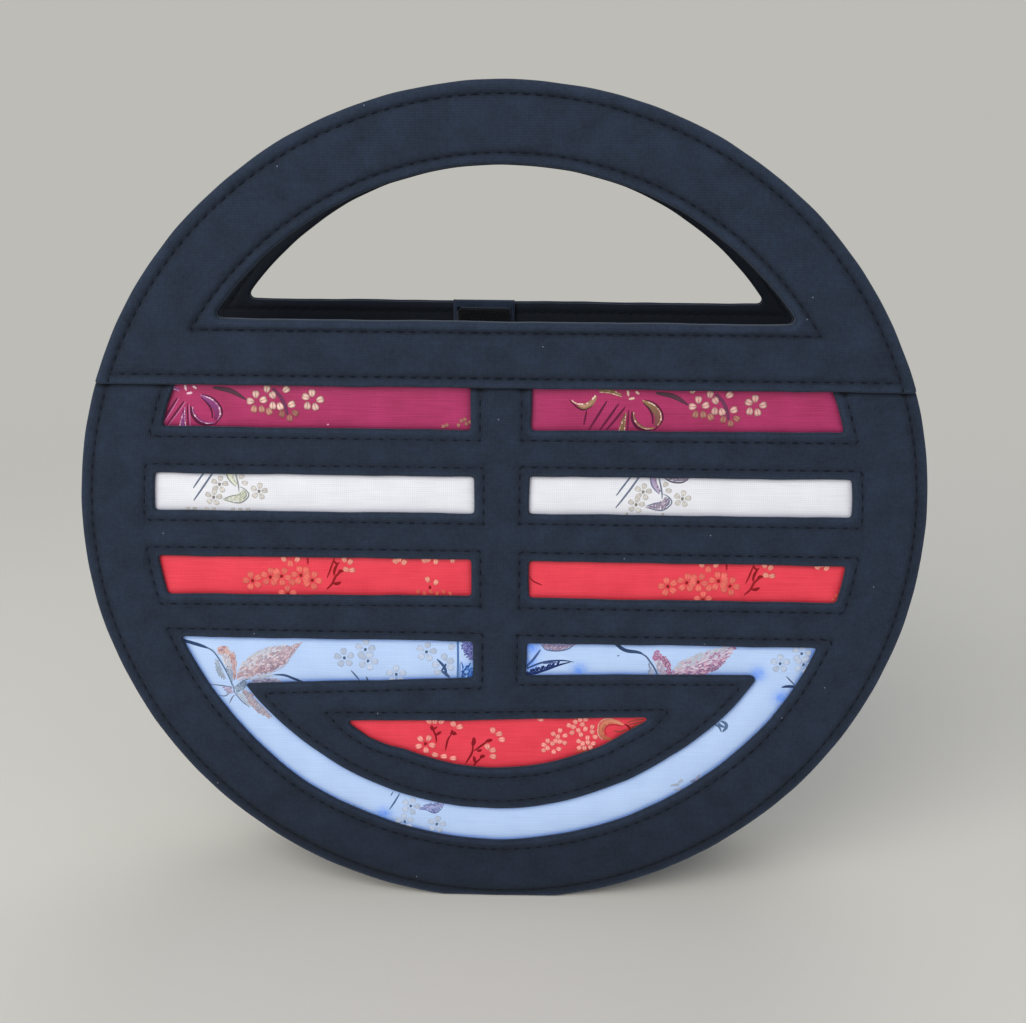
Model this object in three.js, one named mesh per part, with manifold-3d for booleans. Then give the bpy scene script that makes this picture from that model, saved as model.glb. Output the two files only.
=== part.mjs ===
// A round handbag: two stiff discs of black cotton joined by a gusset strip.
// Millimetres, +Z up, the front faces -Y. The bag stands on the flats at the bottom of its two discs.
import * as THREE from 'three';
import { mergeVertices } from 'three/addons/utils/BufferGeometryUtils.js';
import Module from 'manifold-3d';

const wasm = await Module();
wasm.setup();

// Panel outline
const discRadius = 130;
const baseFlatWidth = 26; // where the rim is pressed flat by standing
const yokeLine = 41.8; // height of the yoke's lower edge above the disc's centre
const yokeOverhang = 0.6; // how far the yoke stands out past the disc
const yokeTuck = 10; // how far the lower panel runs up inside the yoke

// Hand hole
const handleWidth = 22.9;
const barHeight = 19.7; // the straight bar between the yoke's edge and the hand hole
const handHoleCorner = 1.5;

// Emblem windows, from the yoke's edge down
const borderWidth = 22.7; // black border between the rim and the windows
const postWidth = 18; // the upright in the middle
const fuchsiaShown = 12.8;
const fuchsiaHidden = 3; // part of the top window under the yoke
const barBelowFuchsia = 15;
const whiteHeight = 10.9;
const barBelowWhite = 15.8;
const redHeight = 11.7;
const barBelowRed = 15.5;
const blueHeight = 12.2;
const blueArcWidth = 10.6;
const barBelowBlue = 13.7;
const bowlBorder = 14.4; // black arc between the blue arc and the red segment
const inlayMargin = 4; // brocade hidden behind each window's edge

// Layers of a panel
const liningThickness = 0.5;
const boardThickness = 1.2;
const inlayThickness = 0.5;
const interliningThickness = 1.2;
const coverThickness = 0.6;
const yokeThickness = 0.8;
const facingThickness = 0.8;
const layerGap = 0.15; // between layers that are sewn together
const edgeGap = 0.3; // between a turned edge and what it wraps
const liningInset = 1.2; // the lining stops short of the rim

// Gusset
const mouthWidth = 48; // between the two facings
const gussetInset = 4; // the disc's rim stands out past the gusset
const gussetThickness = 0.9;
const gussetInterliningThickness = 1;
const gussetLiningThickness = 0.6;
const flangeThickness = 0.8; // gusset edge sewn against the panel
const flangeInset = 2; // the flange stops short of the rim, above the flat foot too
const creaseDepth = 14; // the gusset's inward fold at the mouth
const gussetEndGap = 0.6; // between the gusset's ends and the yoke line

// Closure
const tabWidth = 20.4;
const tabLength = 25.4;
const tabThickness = 1.6;
const tabOffset = -7.5; // the tab sits left of the middle, seen from the front
const tabRise = 0.6; // the tab's fold above the bar
const patchWidth = 18;
const patchLength = 19;
const patchThickness = 1.6;
const patchSetback = 4; // from the tab's free end

const arcStep = THREE.MathUtils.degToRad(5);
const cutOvershoot = 1; // how far a cutter passes each face
const gussetSteps = 36;

// Heights above the disc's centre
const fuchsiaLow = yokeLine - fuchsiaShown;
const whiteHigh = fuchsiaLow - barBelowFuchsia;
const whiteLow = whiteHigh - whiteHeight;
const redHigh = whiteLow - barBelowWhite;
const redLow = redHigh - redHeight;
const blueHigh = redLow - barBelowRed;
const blueLow = blueHigh - blueHeight;
const segmentHigh = blueLow - barBelowBlue;
const tuckLine = yokeLine + yokeTuck;
const holeFloor = yokeLine + barHeight;

// Radii about the disc's centre
const yokeRadius = discRadius + yokeOverhang;
const holeRadius = discRadius - handleWidth;
const windowRadius = discRadius - borderWidth;
const blueInnerRadius = windowRadius - blueArcWidth;
const segmentRadius = blueInnerRadius - bowlBorder;
const tuckRadius = yokeRadius - yokeThickness - edgeGap;
const gussetRadius = discRadius - gussetInset;
const flatHeight = Math.sqrt(discRadius ** 2 - (baseFlatWidth / 2) ** 2);

// Depths, measured outwards from the bag's middle plane
const facingIn = mouthWidth / 2;
const liningIn = facingIn + facingThickness + layerGap;
const boardIn = liningIn + liningThickness + layerGap;
const inlayIn = boardIn + boardThickness + layerGap;
const interliningIn = inlayIn + inlayThickness + layerGap;
const coverIn = interliningIn + interliningThickness + layerGap;
const yokeIn = coverIn + coverThickness + layerGap;
const yokeOut = yokeIn + yokeThickness;

// Points along an arc, from one angle to another
function arc(radius, from, to, cx = 0, cy = 0) {
  const count = Math.max(1, Math.round(Math.abs(to - from) / arcStep));
  return Array.from({ length: count + 1 }, (_, i) => {
    const a = from + (to - from) * i / count;
    return new THREE.Vector2(cx + radius * Math.cos(a), cy + radius * Math.sin(a));
  });
}

const angleAt = (height, radius) => Math.asin(height / radius);
const halfChord = (height, radius) => Math.sqrt(radius ** 2 - height ** 2);

// A strip across the disc between two heights, from one side's arc to the other
function bandOutline(low, high, radius) {
  const a = angleAt(low, radius);
  const b = angleAt(high, radius);
  return [...arc(radius, a, b), ...arc(radius, Math.PI - b, Math.PI - a)];
}

// One of the two windows of a row, to the right (1) or the left (-1) of the post
function rowWindow(low, high, side, grow) {
  const radius = windowRadius + grow;
  const post = postWidth / 2 - grow;
  const a = angleAt(low - grow, radius);
  const b = angleAt(high + grow, radius);
  const end = arc(radius, a, b);
  const ring = [new THREE.Vector2(post, low - grow), ...end, new THREE.Vector2(post, high + grow)];
  return side > 0 ? ring : ring.map((p) => new THREE.Vector2(-p.x, p.y)).reverse();
}

// The blue window: two bars joined by an arc below
function bowlWindow(grow) {
  const outer = windowRadius + grow;
  const inner = blueInnerRadius - grow;
  const post = postWidth / 2 - grow;
  const high = blueHigh + grow;
  const low = blueLow - grow;
  const outerEnd = angleAt(high, outer);
  const innerEnd = angleAt(low, inner);
  return [
    new THREE.Vector2(post, high),
    new THREE.Vector2(post, low),
    ...arc(inner, innerEnd, -Math.PI - innerEnd),
    new THREE.Vector2(-post, low),
    new THREE.Vector2(-post, high),
    ...arc(outer, -Math.PI - outerEnd, outerEnd),
  ];
}

// The part of a disc below a height
function segmentOutline(high, radius) {
  const a = angleAt(high, radius);
  return arc(radius, -Math.PI - a, a);
}

function windowHoles(grow) {
  const rows = [[fuchsiaLow, yokeLine + fuchsiaHidden], [whiteLow, whiteHigh], [redLow, redHigh]];
  const pairs = rows.flatMap(([low, high]) => [1, -1].map((side) => rowWindow(low, high, side, grow)));
  return [...pairs, bowlWindow(grow), segmentOutline(segmentHigh + grow, segmentRadius + grow)];
}

// The lower panel's outline: the round rim with its flat foot, and a narrower part inside the yoke
function lowerOutline(inset) {
  const radius = discRadius - inset;
  const foot = inset - flatHeight;
  const footAngle = angleAt(foot, radius);
  const shoulder = yokeLine - edgeGap - inset;
  const tuck = tuckRadius - inset;
  const low = angleAt(shoulder, tuck);
  const high = angleAt(tuckLine - inset, tuck);
  const right = [...arc(radius, footAngle, angleAt(shoulder, radius)), ...arc(tuck, low, high)];
  return [...right, ...right.map((p) => new THREE.Vector2(-p.x, p.y)).reverse()];
}

// The hand hole, grown outwards by a wall
function holeOutline(grow) {
  const radius = holeRadius + grow;
  const corner = handHoleCorner + grow;
  const cy = holeFloor - grow + corner;
  const cx = halfChord(cy, radius - corner);
  const turn = Math.atan2(cy, cx);
  return [
    ...arc(corner, -Math.PI / 2, turn, cx, cy),
    ...arc(radius, turn, Math.PI - turn).slice(1, -1),
    ...arc(corner, Math.PI - turn, Math.PI * 1.5, -cx, cy),
  ];
}

function yokeOutline(radius, low) {
  const a = angleAt(low, radius);
  return arc(radius, a, Math.PI - a);
}

// A flat plate standing in the XZ plane, between two depths on the front side
function plate(outline, near, far) {
  const shape = new THREE.Shape(outline);
  const geometry = new THREE.ExtrudeGeometry(shape, { depth: far - near, bevelEnabled: false });
  geometry.rotateX(Math.PI / 2);
  geometry.translate(0, -near, 0);
  return geometry;
}

// A plate with holes cut right through
function cutPlate(outline, holes, near, far) {
  const cutters = holes.map((ring) => solid(plate(ring, near - cutOvershoot, far + cutOvershoot)));
  return shown(cutters.reduce((rest, cutter) => rest.subtract(cutter), solid(plate(outline, near, far))));
}

function box(width, near, far, low, high, cx) {
  const outline = [[-1, low], [1, low], [1, high], [-1, high]];
  return plate(outline.map(([s, z]) => new THREE.Vector2(cx + s * width / 2, z)), near, far);
}

// A closed band swept round the disc's centre, from a section of [depth, radius] points at each angle
function sweptBand(sectionAt, from, to) {
  const sections = Array.from({ length: gussetSteps + 1 }, (_, i) => from + (to - from) * i / gussetSteps);
  const count = sectionAt(from).length;
  const points = sections.flatMap((a) => sectionAt(a).flatMap(([y, r]) => [r * Math.cos(a), y, r * Math.sin(a)]));
  const depths = sectionAt(from).map(([y]) => Math.abs(y));
  const faces = [];
  for (let i = 0; i < gussetSteps; i++) {
    for (let j = 0; j < count; j++) {
      const k = (j + 1) % count;
      const [a, b, c, d] = [i * count + j, i * count + k, (i + 1) * count + k, (i + 1) * count + j];
      // Every layer is split along the same diagonal, so that folded layers stay parallel
      faces.push(...(depths[j] > depths[k] ? [a, b, c, a, c, d] : [a, b, d, b, c, d]));
    }
  }
  const cap = (a) => THREE.ShapeUtils.triangulateShape(sectionAt(a).map((p) => new THREE.Vector2(...p)), []);
  const last = gussetSteps * count;
  cap(from).forEach(([a, b, c]) => faces.push(a, b, c));
  cap(to).forEach(([a, b, c]) => faces.push(last + a, last + c, last + b));
  const geometry = new THREE.BufferGeometry();
  geometry.setAttribute('position', new THREE.Float32BufferAttribute(points, 3));
  geometry.setIndex(faces);
  return geometry;
}

function solid(geometry) {
  const bare = geometry.clone();
  bare.deleteAttribute('normal');
  bare.deleteAttribute('uv');
  const merged = mergeVertices(bare, 1e-4);
  const vertProperties = merged.attributes.position.array;
  return new wasm.Manifold(new wasm.Mesh({ numProp: 3, vertProperties, triVerts: merged.index.array }));
}

function shown(whole) {
  const mesh = whole.getMesh();
  const geometry = new THREE.BufferGeometry();
  geometry.setAttribute('position', new THREE.BufferAttribute(mesh.vertProperties, 3));
  geometry.setIndex(new THREE.BufferAttribute(mesh.triVerts, 1));
  return geometry;
}

const joined = (...geometries) => shown(geometries.map(solid).reduce((sum, next) => sum.add(next)));

const cloth = (color, roughness) => new THREE.MeshStandardMaterial({ color, roughness, metalness: 0 });
const finishes = {
  cotton: () => cloth(0x2b323d, 0.9),
  lining: () => cloth(0x1d2027, 0.85),
  fleece: () => cloth(0xd8d4c8, 0.95),
  card: () => cloth(0xb9aa8c, 0.9),
  fuchsia: () => cloth(0xb03468, 0.45),
  white: () => cloth(0xe4e2ee, 0.45),
  red: () => cloth(0xe4323c, 0.45),
  blue: () => cloth(0xaac3f0, 0.45),
  tape: () => cloth(0x0b0c0f, 1),
};

function piece(name, geometry, finish) {
  const mesh = new THREE.Mesh(geometry, finishes[finish]());
  mesh.name = name;
  return mesh;
}

// The cover is a shallow tray: a face with the windows and a turned edge round the board
function coverGeometry() {
  const far = coverIn + coverThickness;
  const face = cutPlate(lowerOutline(0), windowHoles(0), coverIn, far);
  const rim = cutPlate(lowerOutline(0), [lowerOutline(coverThickness)], boardIn, far);
  return joined(face, rim);
}

function yokeGeometry() {
  const face = cutPlate(yokeOutline(yokeRadius, yokeLine), [holeOutline(0)], yokeIn, yokeOut);
  const inner = yokeRadius - yokeThickness;
  const edge = [
    ...yokeOutline(yokeRadius, yokeLine),
    ...yokeOutline(inner, yokeLine).reverse(),
  ];
  const wallIn = facingIn + facingThickness + layerGap;
  const arch = plate(edge, wallIn, yokeOut);
  const lip = cutPlate(holeOutline(yokeThickness), [holeOutline(0)], wallIn, yokeOut);
  return joined(face, arch, lip);
}

// One panel, built as the front one
function panel(side) {
  const group = new THREE.Group();
  const wrap = coverThickness + edgeGap;
  const wide = windowRadius + inlayMargin;
  const add = (name, geometry, finish) => group.add(piece(`${side}_${name}`, geometry, finish));
  const inlay = (name, outline, holes, finish) => {
    add(name, cutPlate(outline, holes, inlayIn, inlayIn + inlayThickness), finish);
  };
  add('lining', plate(lowerOutline(liningInset), liningIn, liningIn + liningThickness), 'lining');
  add('board', plate(lowerOutline(wrap), boardIn, boardIn + boardThickness), 'card');
  const fuchsiaTop = yokeLine + fuchsiaHidden + inlayMargin;
  inlay('fuchsia_inlay', bandOutline(fuchsiaLow - inlayMargin, fuchsiaTop, wide), [], 'fuchsia');
  inlay('white_inlay', bandOutline(whiteLow - inlayMargin, whiteHigh + inlayMargin, wide), [], 'white');
  inlay('red_inlay', bandOutline(redLow - inlayMargin, redHigh + inlayMargin, wide), [], 'red');
  const bowlHole = segmentOutline(blueLow - inlayMargin, blueInnerRadius - inlayMargin);
  inlay('blue_inlay', segmentOutline(blueHigh + inlayMargin, wide), [bowlHole], 'blue');
  inlay('red_segment_inlay', segmentOutline(segmentHigh + inlayMargin, segmentRadius + inlayMargin), [], 'red');
  const fleeceOut = interliningIn + interliningThickness;
  add('interlining', cutPlate(lowerOutline(wrap), windowHoles(edgeGap), interliningIn, fleeceOut), 'fleece');
  add('cover', coverGeometry(), 'cotton');
  const facing = yokeOutline(yokeRadius, yokeLine);
  add('yoke_facing', cutPlate(facing, [holeOutline(0)], facingIn, facingIn + facingThickness), 'cotton');
  const coreWall = yokeThickness + edgeGap;
  const core = yokeOutline(yokeRadius - coreWall, tuckLine + edgeGap);
  add('handle_core', cutPlate(core, [holeOutline(coreWall)], liningIn, yokeIn - layerGap), 'card');
  add('yoke', yokeGeometry(), 'cotton');
  return group;
}

// Depth of the gusset's fold: none at the bottom, growing up to the mouth
function creaseAt(angle) {
  const height = Math.sin(angle) * gussetRadius;
  return creaseDepth * THREE.MathUtils.smoothstep(height, -gussetRadius, yokeLine);
}

// A layer of the gusset between two depths of cloth, folded in at its middle
function gussetLayer(inside, outside, halfWidth) {
  return (angle) => {
    const fold = creaseAt(angle);
    const top = gussetRadius - outside;
    const under = gussetRadius - inside;
    return [[-halfWidth, top], [0, top - fold], [halfWidth, top], [halfWidth, under], [0, under - fold], [-halfWidth, under]];
  };
}

function gussetBand(halfWidth) {
  const tip = discRadius - flangeInset;
  const near = halfWidth - flangeThickness;
  return (angle) => {
    const fold = creaseAt(angle);
    const under = gussetRadius - gussetThickness;
    return [
      [-halfWidth, tip], [-near, tip], [-near, gussetRadius], [0, gussetRadius - fold],
      [near, gussetRadius], [near, tip], [halfWidth, tip],
      [halfWidth, under], [0, under - fold], [-halfWidth, under],
    ];
  };
}

function gusset() {
  const group = new THREE.Group();
  const halfWidth = liningIn - layerGap;
  const end = angleAt(yokeLine - gussetEndGap, discRadius - flangeInset);
  const from = -Math.PI - end;
  const fleece = gussetThickness + layerGap;
  const lining = fleece + gussetInterliningThickness + layerGap;
  group.add(piece('gusset_band', sweptBand(gussetBand(halfWidth), from, end), 'cotton'));
  const fleeceLayer = gussetLayer(fleece + gussetInterliningThickness, fleece, halfWidth);
  group.add(piece('gusset_interlining', sweptBand(fleeceLayer, from, end), 'fleece'));
  const liningLayer = gussetLayer(lining + gussetLiningThickness, lining, halfWidth);
  group.add(piece('gusset_lining', sweptBand(liningLayer, from, end), 'lining'));
  return group;
}

// The hook patch on the front bar, and the flap with the loop patch on the back bar
function closure() {
  const group = new THREE.Group();
  const tabTop = holeFloor + tabRise + edgeGap;
  const tabFar = edgeGap - facingIn;
  const tabNear = tabFar + tabThickness;
  const tabLow = tabTop - tabLength;
  const patchLow = tabLow + patchSetback;
  const patchHigh = patchLow + patchLength;
  const loopFar = tabNear + layerGap;
  const hookNear = facingIn - layerGap - patchThickness;
  group.add(piece('closure_tab', box(tabWidth, tabFar, tabNear, tabLow, tabTop, tabOffset), 'cotton'));
  const loop = box(patchWidth, loopFar, loopFar + patchThickness, patchLow, patchHigh, tabOffset);
  group.add(piece('loop_patch', loop, 'tape'));
  const hook = box(patchWidth, hookNear, hookNear + patchThickness, patchLow, patchHigh, tabOffset);
  group.add(piece('hook_patch', hook, 'tape'));
  return group;
}

const bag = new THREE.Group();
const back = panel('back');
back.rotation.z = Math.PI;
bag.add(gusset(), panel('front'), back, closure());
bag.position.z = flatHeight;

export default bag;
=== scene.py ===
import math
import bpy
import numpy as np
from mathutils import Matrix, Vector, geometry, kdtree, noise


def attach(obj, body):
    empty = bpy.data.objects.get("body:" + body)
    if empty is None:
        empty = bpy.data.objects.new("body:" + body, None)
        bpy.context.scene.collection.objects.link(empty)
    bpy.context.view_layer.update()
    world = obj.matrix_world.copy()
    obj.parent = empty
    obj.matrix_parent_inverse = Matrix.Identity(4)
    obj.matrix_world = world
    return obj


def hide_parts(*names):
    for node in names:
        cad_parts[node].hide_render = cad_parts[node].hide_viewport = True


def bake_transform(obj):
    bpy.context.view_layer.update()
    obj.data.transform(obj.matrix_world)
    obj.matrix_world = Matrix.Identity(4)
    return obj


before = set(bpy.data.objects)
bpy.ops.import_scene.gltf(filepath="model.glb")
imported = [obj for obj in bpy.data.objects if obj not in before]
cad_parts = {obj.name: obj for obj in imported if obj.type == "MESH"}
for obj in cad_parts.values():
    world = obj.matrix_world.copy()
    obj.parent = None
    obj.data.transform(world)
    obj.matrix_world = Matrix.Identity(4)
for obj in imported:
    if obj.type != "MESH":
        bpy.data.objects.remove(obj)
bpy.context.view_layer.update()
scene = bpy.context.scene
scene.view_settings.view_transform = "Standard"
mm = 0.001

# Sizes of the solids, in millimetres from the disc's centre; depths are from the bag's middle plane outwards
bag = {
    "discRadius": 130.0, "footDrop": 129.348, "yokeRadius": 130.6, "yokeLine": 41.8,
    "tuckLine": 51.8, "tuckRadius": 129.5, "holeRadius": 107.1, "holeFloor": 61.5, "holeCorner": 1.5,
    "lean": 0.45, "leanFrom": -25.0, "leanReach": 60.0,
}


def linear(hexColour):
    channels = [int(hexColour[i:i + 2], 16) / 255 for i in (1, 3, 5)]
    return tuple(c / 12.92 if c <= 0.04045 else ((c + 0.055) / 1.055) ** 2.4 for c in channels) + (1.0,)


def addNode(tree, kind, settings=None, inputs=None):
    node = tree.nodes.new(kind)
    for key, value in (settings or {}).items():
        setattr(node, key, value)
    for key, value in (inputs or {}).items():
        if isinstance(value, bpy.types.NodeSocket):
            tree.links.new(value, node.inputs[key])
        else:
            node.inputs[key].default_value = value
    return node


# Camera, floor and light

view = {
    "lens": 48.42, "sensor": 36.0, "place": (0.0086, -0.4396, 0.2428),
    "right": (0.9998, 0.0152, 0.0099), "up": (-0.0135, 0.2589, 0.9657), "back": (0.0121, -0.9658, 0.2589),
}
cameraData = bpy.data.cameras.new("photoCamera")
cameraData.lens, cameraData.sensor_width = view["lens"], view["sensor"]
cameraData.clip_start, cameraData.clip_end = 0.01, 50
cameraObject = bpy.data.objects.new("photoCamera", cameraData)
scene.collection.objects.link(cameraObject)
turn = Matrix([view["right"], view["up"], view["back"]]).transposed()
cameraObject.matrix_world = Matrix.Translation(view["place"]) @ turn.to_4x4()
scene.camera = cameraObject

studio = {
    "floorColour": "#dedbd3", "floorShade": 0.94, "grainScale": 3.0, "halfWidth": 4.0, "near": -4.0,
    "bend": 1.3, "bendRadius": 0.9, "bendSteps": 12, "top": 4.0,
    "worldColour": "#dfe6f2", "worldStrength": 0.44, "beyond": "#bdbcb7", "fade": (0.32, 0.95),
    "lamps": [  # name, place, aim, size, power, colour
        ("windowLight", (-0.55, -1.1, 0.85), (0, 0, 0.14), 1.1, 16.9, "#fffdf8"),
        ("fillLight", (1.5, -1.5, 0.9), (0, 0, 0.12), 1.8, 6, "#f1f5ff"),
        ("backLight", (0.4, 1.6, 1.8), (0, 0.3, 0.1), 1.6, 13, "#ffffff"),
    ],
}


def buildStudio(s):
    world = bpy.data.worlds.new("paleRoom")
    world.use_nodes = True
    tree = world.node_tree
    sky = tree.nodes["Background"]
    sky.inputs["Color"].default_value = linear(s["worldColour"])
    sky.inputs["Strength"].default_value = s["worldStrength"]
    beyond = linear(s["beyond"])  # the plain tone that the camera sees far from the bag; the light stays as it is
    seen = addNode(tree, "ShaderNodeLightPath").outputs["Is Camera Ray"]
    plain = addNode(tree, "ShaderNodeBackground", None, {"Color": beyond}).outputs[0]
    mixed = addNode(tree, "ShaderNodeMixShader", None, {0: seen, 1: sky.outputs[0], 2: plain}).outputs[0]
    tree.links.new(mixed, tree.nodes["World Output"].inputs["Surface"])
    scene.world = world
    for name, place, aim, size, power, colour in s["lamps"]:
        lamp = bpy.data.lights.new(name, "AREA")
        lamp.size, lamp.energy, lamp.color = size, power, linear(colour)[:3]
        lampObject = bpy.data.objects.new(name, lamp)
        lampObject.location = place
        lampObject.rotation_euler = (Vector(aim) - Vector(place)).to_track_quat("-Z", "Y").to_euler()
        scene.collection.objects.link(lampObject)
    # floor that curves up into a backdrop
    profile = [(s["near"], 0.0), (s["bend"], 0.0)]
    for k in range(1, s["bendSteps"] + 1):
        a = math.pi / 2 * k / s["bendSteps"]
        profile.append((s["bend"] + s["bendRadius"] * math.sin(a), s["bendRadius"] * (1 - math.cos(a))))
    profile.append((s["bend"] + s["bendRadius"], s["top"]))
    points = [(x, y, z) for y, z in profile for x in (-s["halfWidth"], s["halfWidth"])]
    faces = [(2 * i, 2 * i + 1, 2 * i + 3, 2 * i + 2) for i in range(len(profile) - 1)]
    mesh = bpy.data.meshes.new("paleFloor")
    mesh.from_pydata(points, [], faces)
    mesh.polygons.foreach_set("use_smooth", [True] * len(faces))
    paint = bpy.data.materials.new("matt painted floor")  # an even, pale, shadow-catching ground
    paint.use_nodes = True
    tree = paint.node_tree
    shader = tree.nodes["Principled BSDF"]
    shader.inputs["Roughness"].default_value = 0.9
    shader.inputs["Specular IOR Level"].default_value = 0.15
    place = addNode(tree, "ShaderNodeTexCoord").outputs["Object"]
    grain = addNode(tree, "ShaderNodeTexNoise", None, {"Vector": place, "Scale": s["grainScale"]}).outputs["Fac"]
    base = linear(s["floorColour"])
    shaded = tuple(c * s["floorShade"] for c in base[:3]) + (1.0,)
    colour = addNode(tree, "ShaderNodeMix", {"data_type": "RGBA"}, {0: grain, 6: shaded, 7: base}).outputs[2]
    tree.links.new(colour, shader.inputs["Base Color"])
    reach = addNode(tree, "ShaderNodeVectorMath", {"operation": "LENGTH"}, {0: place}).outputs["Value"]
    far = addNode(tree, "ShaderNodeMapRange", {"interpolation_type": "SMOOTHSTEP"},
                  {"Value": reach, "From Min": s["fade"][0], "From Max": s["fade"][1]}).outputs[0]
    seen = addNode(tree, "ShaderNodeLightPath").outputs["Is Camera Ray"]
    share = addNode(tree, "ShaderNodeMath", {"operation": "MULTIPLY"}, {0: far, 1: seen}).outputs[0]
    plain = addNode(tree, "ShaderNodeEmission", None, {"Color": beyond}).outputs[0]
    mixed = addNode(tree, "ShaderNodeMixShader", None, {0: share, 1: shader.outputs[0], 2: plain}).outputs[0]
    tree.links.new(mixed, tree.nodes["Material Output"].inputs["Surface"])
    mesh.materials.append(paint)
    floor = bpy.data.objects.new("paleFloor", mesh)
    scene.collection.objects.link(floor)


buildStudio(studio)
print("camera, floor and light are set")

# Materials

bandScale = 0.31416  # a wave texture repeats every 0.31416 / scale
cottonLook = {
    # the third tone is a painted highlight for rolled edges; the fourth is painted shade for stitched grooves, the
    # lower cover and the strip under the yoke's hem
    "colour": "#283448", "dark": "#161d28", "paintedLightTone": "#303c4f", "crease": "#0a0d13", "lint": "#8d97a6",
    "threadPitch": 0.75,  # real threads are about 0.3 mm apart, drawn coarser so that the weave shows
    "mottle": 9.0, "slub": 1.3, "slubShare": 0.45, "weaveShare": 0.18, "roughness": 0.88, "specular": 0.22,
    "sheen": 0.18, "sheenTint": "#b9c8de", "lintCell": 13.0, "lintRare": 0.9, "lintSize": (0.009, 0.02),
    "lintWeight": 0.6,
}


def newMaterial(name, roughness, specular, sheen=0.0):
    material = bpy.data.materials.new(name)
    material.use_nodes = True
    shader = material.node_tree.nodes["Principled BSDF"]
    shader.inputs["Roughness"].default_value = roughness
    shader.inputs["Specular IOR Level"].default_value = specular
    shader.inputs["Sheen Weight"].default_value = sheen
    shader.inputs["Sheen Roughness"].default_value = 0.45
    return material, material.node_tree, shader


def dressShader(tree, shader, colour, height, strength, depth):
    # puts the colour and the relief on the shader
    tree.links.new(colour, shader.inputs["Base Color"])
    bump = addNode(tree, "ShaderNodeBump", None, {"Strength": strength, "Distance": depth, "Height": height})
    tree.links.new(bump.outputs["Normal"], shader.inputs["Normal"])


def weaveOf(tree, coords, pitchU, pitchV):
    # plain weave: two sets of threads that trade places in a checker
    across, along = [
        addNode(tree, "ShaderNodeTexWave", {"bands_direction": way}, {
            "Vector": coords, "Scale": bandScale / (pitch * mm), "Distortion": 0.5, "Detail Scale": 1.5}).outputs["Fac"]
        for way, pitch in (("X", pitchU), ("Y", pitchV))]
    scale = (1 / (pitchU * mm), 1 / (pitchV * mm), 1)
    stretch = addNode(tree, "ShaderNodeMapping", None, {"Vector": coords, "Scale": scale}).outputs["Vector"]
    swap = addNode(tree, "ShaderNodeTexChecker", None, {"Vector": stretch, "Scale": 1.0}).outputs["Fac"]
    return addNode(tree, "ShaderNodeMix", {"data_type": "FLOAT"}, {0: swap, 2: across, 3: along}).outputs[0]


def cottonMaterial(name, look):
    # plain-woven cotton dyed blue-black: matt, faintly mottled, with a painted highlight on folded edges and painted
    # shade in grooves and creases, with stray lint
    material, tree, shader = newMaterial(name, look["roughness"], look["specular"], look["sheen"])
    shader.inputs["Sheen Tint"].default_value = linear(look["sheenTint"])
    coords = addNode(tree, "ShaderNodeUVMap", {"uv_map": "cloth"}).outputs["UV"]
    weave = weaveOf(tree, coords, look["threadPitch"], look["threadPitch"])
    mottle, slub = [
        addNode(tree, "ShaderNodeTexNoise", None, {
            "Vector": coords, "Scale": 1 / (look[key] * mm), "Detail": detail, "Roughness": rough}).outputs["Fac"]
        for key, detail, rough in (("mottle", 5.0, 0.6), ("slub", 3.0, 0.65))]
    tone = addNode(tree, "ShaderNodeMix", {"data_type": "FLOAT"}, {0: look["slubShare"], 2: mottle, 3: slub}).outputs[0]
    tone = addNode(tree, "ShaderNodeMix", {"data_type": "FLOAT"}, {0: look["weaveShare"], 2: tone, 3: weave}).outputs[0]
    spread = addNode(tree, "ShaderNodeMapRange", None, {"Value": tone, "From Min": 0.3, "From Max": 0.7}).outputs[0]
    # this attribute is painted light: above 0 a painted highlight on rolled edges, below 0 painted shade in grooves,
    # low down and under the hem
    wear = addNode(tree, "ShaderNodeAttribute", {"attribute_name": "wear"}).outputs["Fac"]  # below 0 in creases
    paintedHighlightShare, crease = [
        addNode(tree, "ShaderNodeMath", {"operation": "MULTIPLY", "use_clamp": True}, {0: wear, 1: factor}).outputs[0]
        for factor in (slub, -1.0)]
    cells = addNode(tree, "ShaderNodeTexVoronoi", {"voronoi_dimensions": "2D"},
                    {"Vector": coords, "Scale": 1 / (look["lintCell"] * mm)})
    chance = addNode(tree, "ShaderNodeSeparateColor", None, {"Color": cells.outputs["Color"]}).outputs["Red"]
    rare = addNode(tree, "ShaderNodeMath", {"operation": "GREATER_THAN"}, {0: chance, 1: look["lintRare"]}).outputs[0]
    small, large = look["lintSize"]
    near = addNode(tree, "ShaderNodeMapRange", None, {
        "Value": cells.outputs["Distance"], "From Min": small, "From Max": large,
        "To Min": look["lintWeight"], "To Max": 0.0}).outputs[0]
    speck = addNode(tree, "ShaderNodeMath", {"operation": "MULTIPLY"}, {0: rare, 1: near}).outputs[0]
    ground = linear(look["dark"])
    # mottle, then painted highlight, painted shade and lint are mixed in
    for share, key in ((spread, "colour"), (paintedHighlightShare, "paintedLightTone"), (crease, "crease"), (speck, "lint")):
        ground = addNode(tree, "ShaderNodeMix", {"data_type": "RGBA"},
                         {0: share, 6: ground, 7: linear(look[key])}).outputs[2]
    relief = addNode(tree, "ShaderNodeMix", {"data_type": "FLOAT"}, {0: 0.5, 2: weave, 3: slub}).outputs[0]
    dressShader(tree, shader, ground, relief, 0.35, 0.00018)
    return material


# the last tone is painted shade, laid on the satin beside each cotton edge
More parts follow.
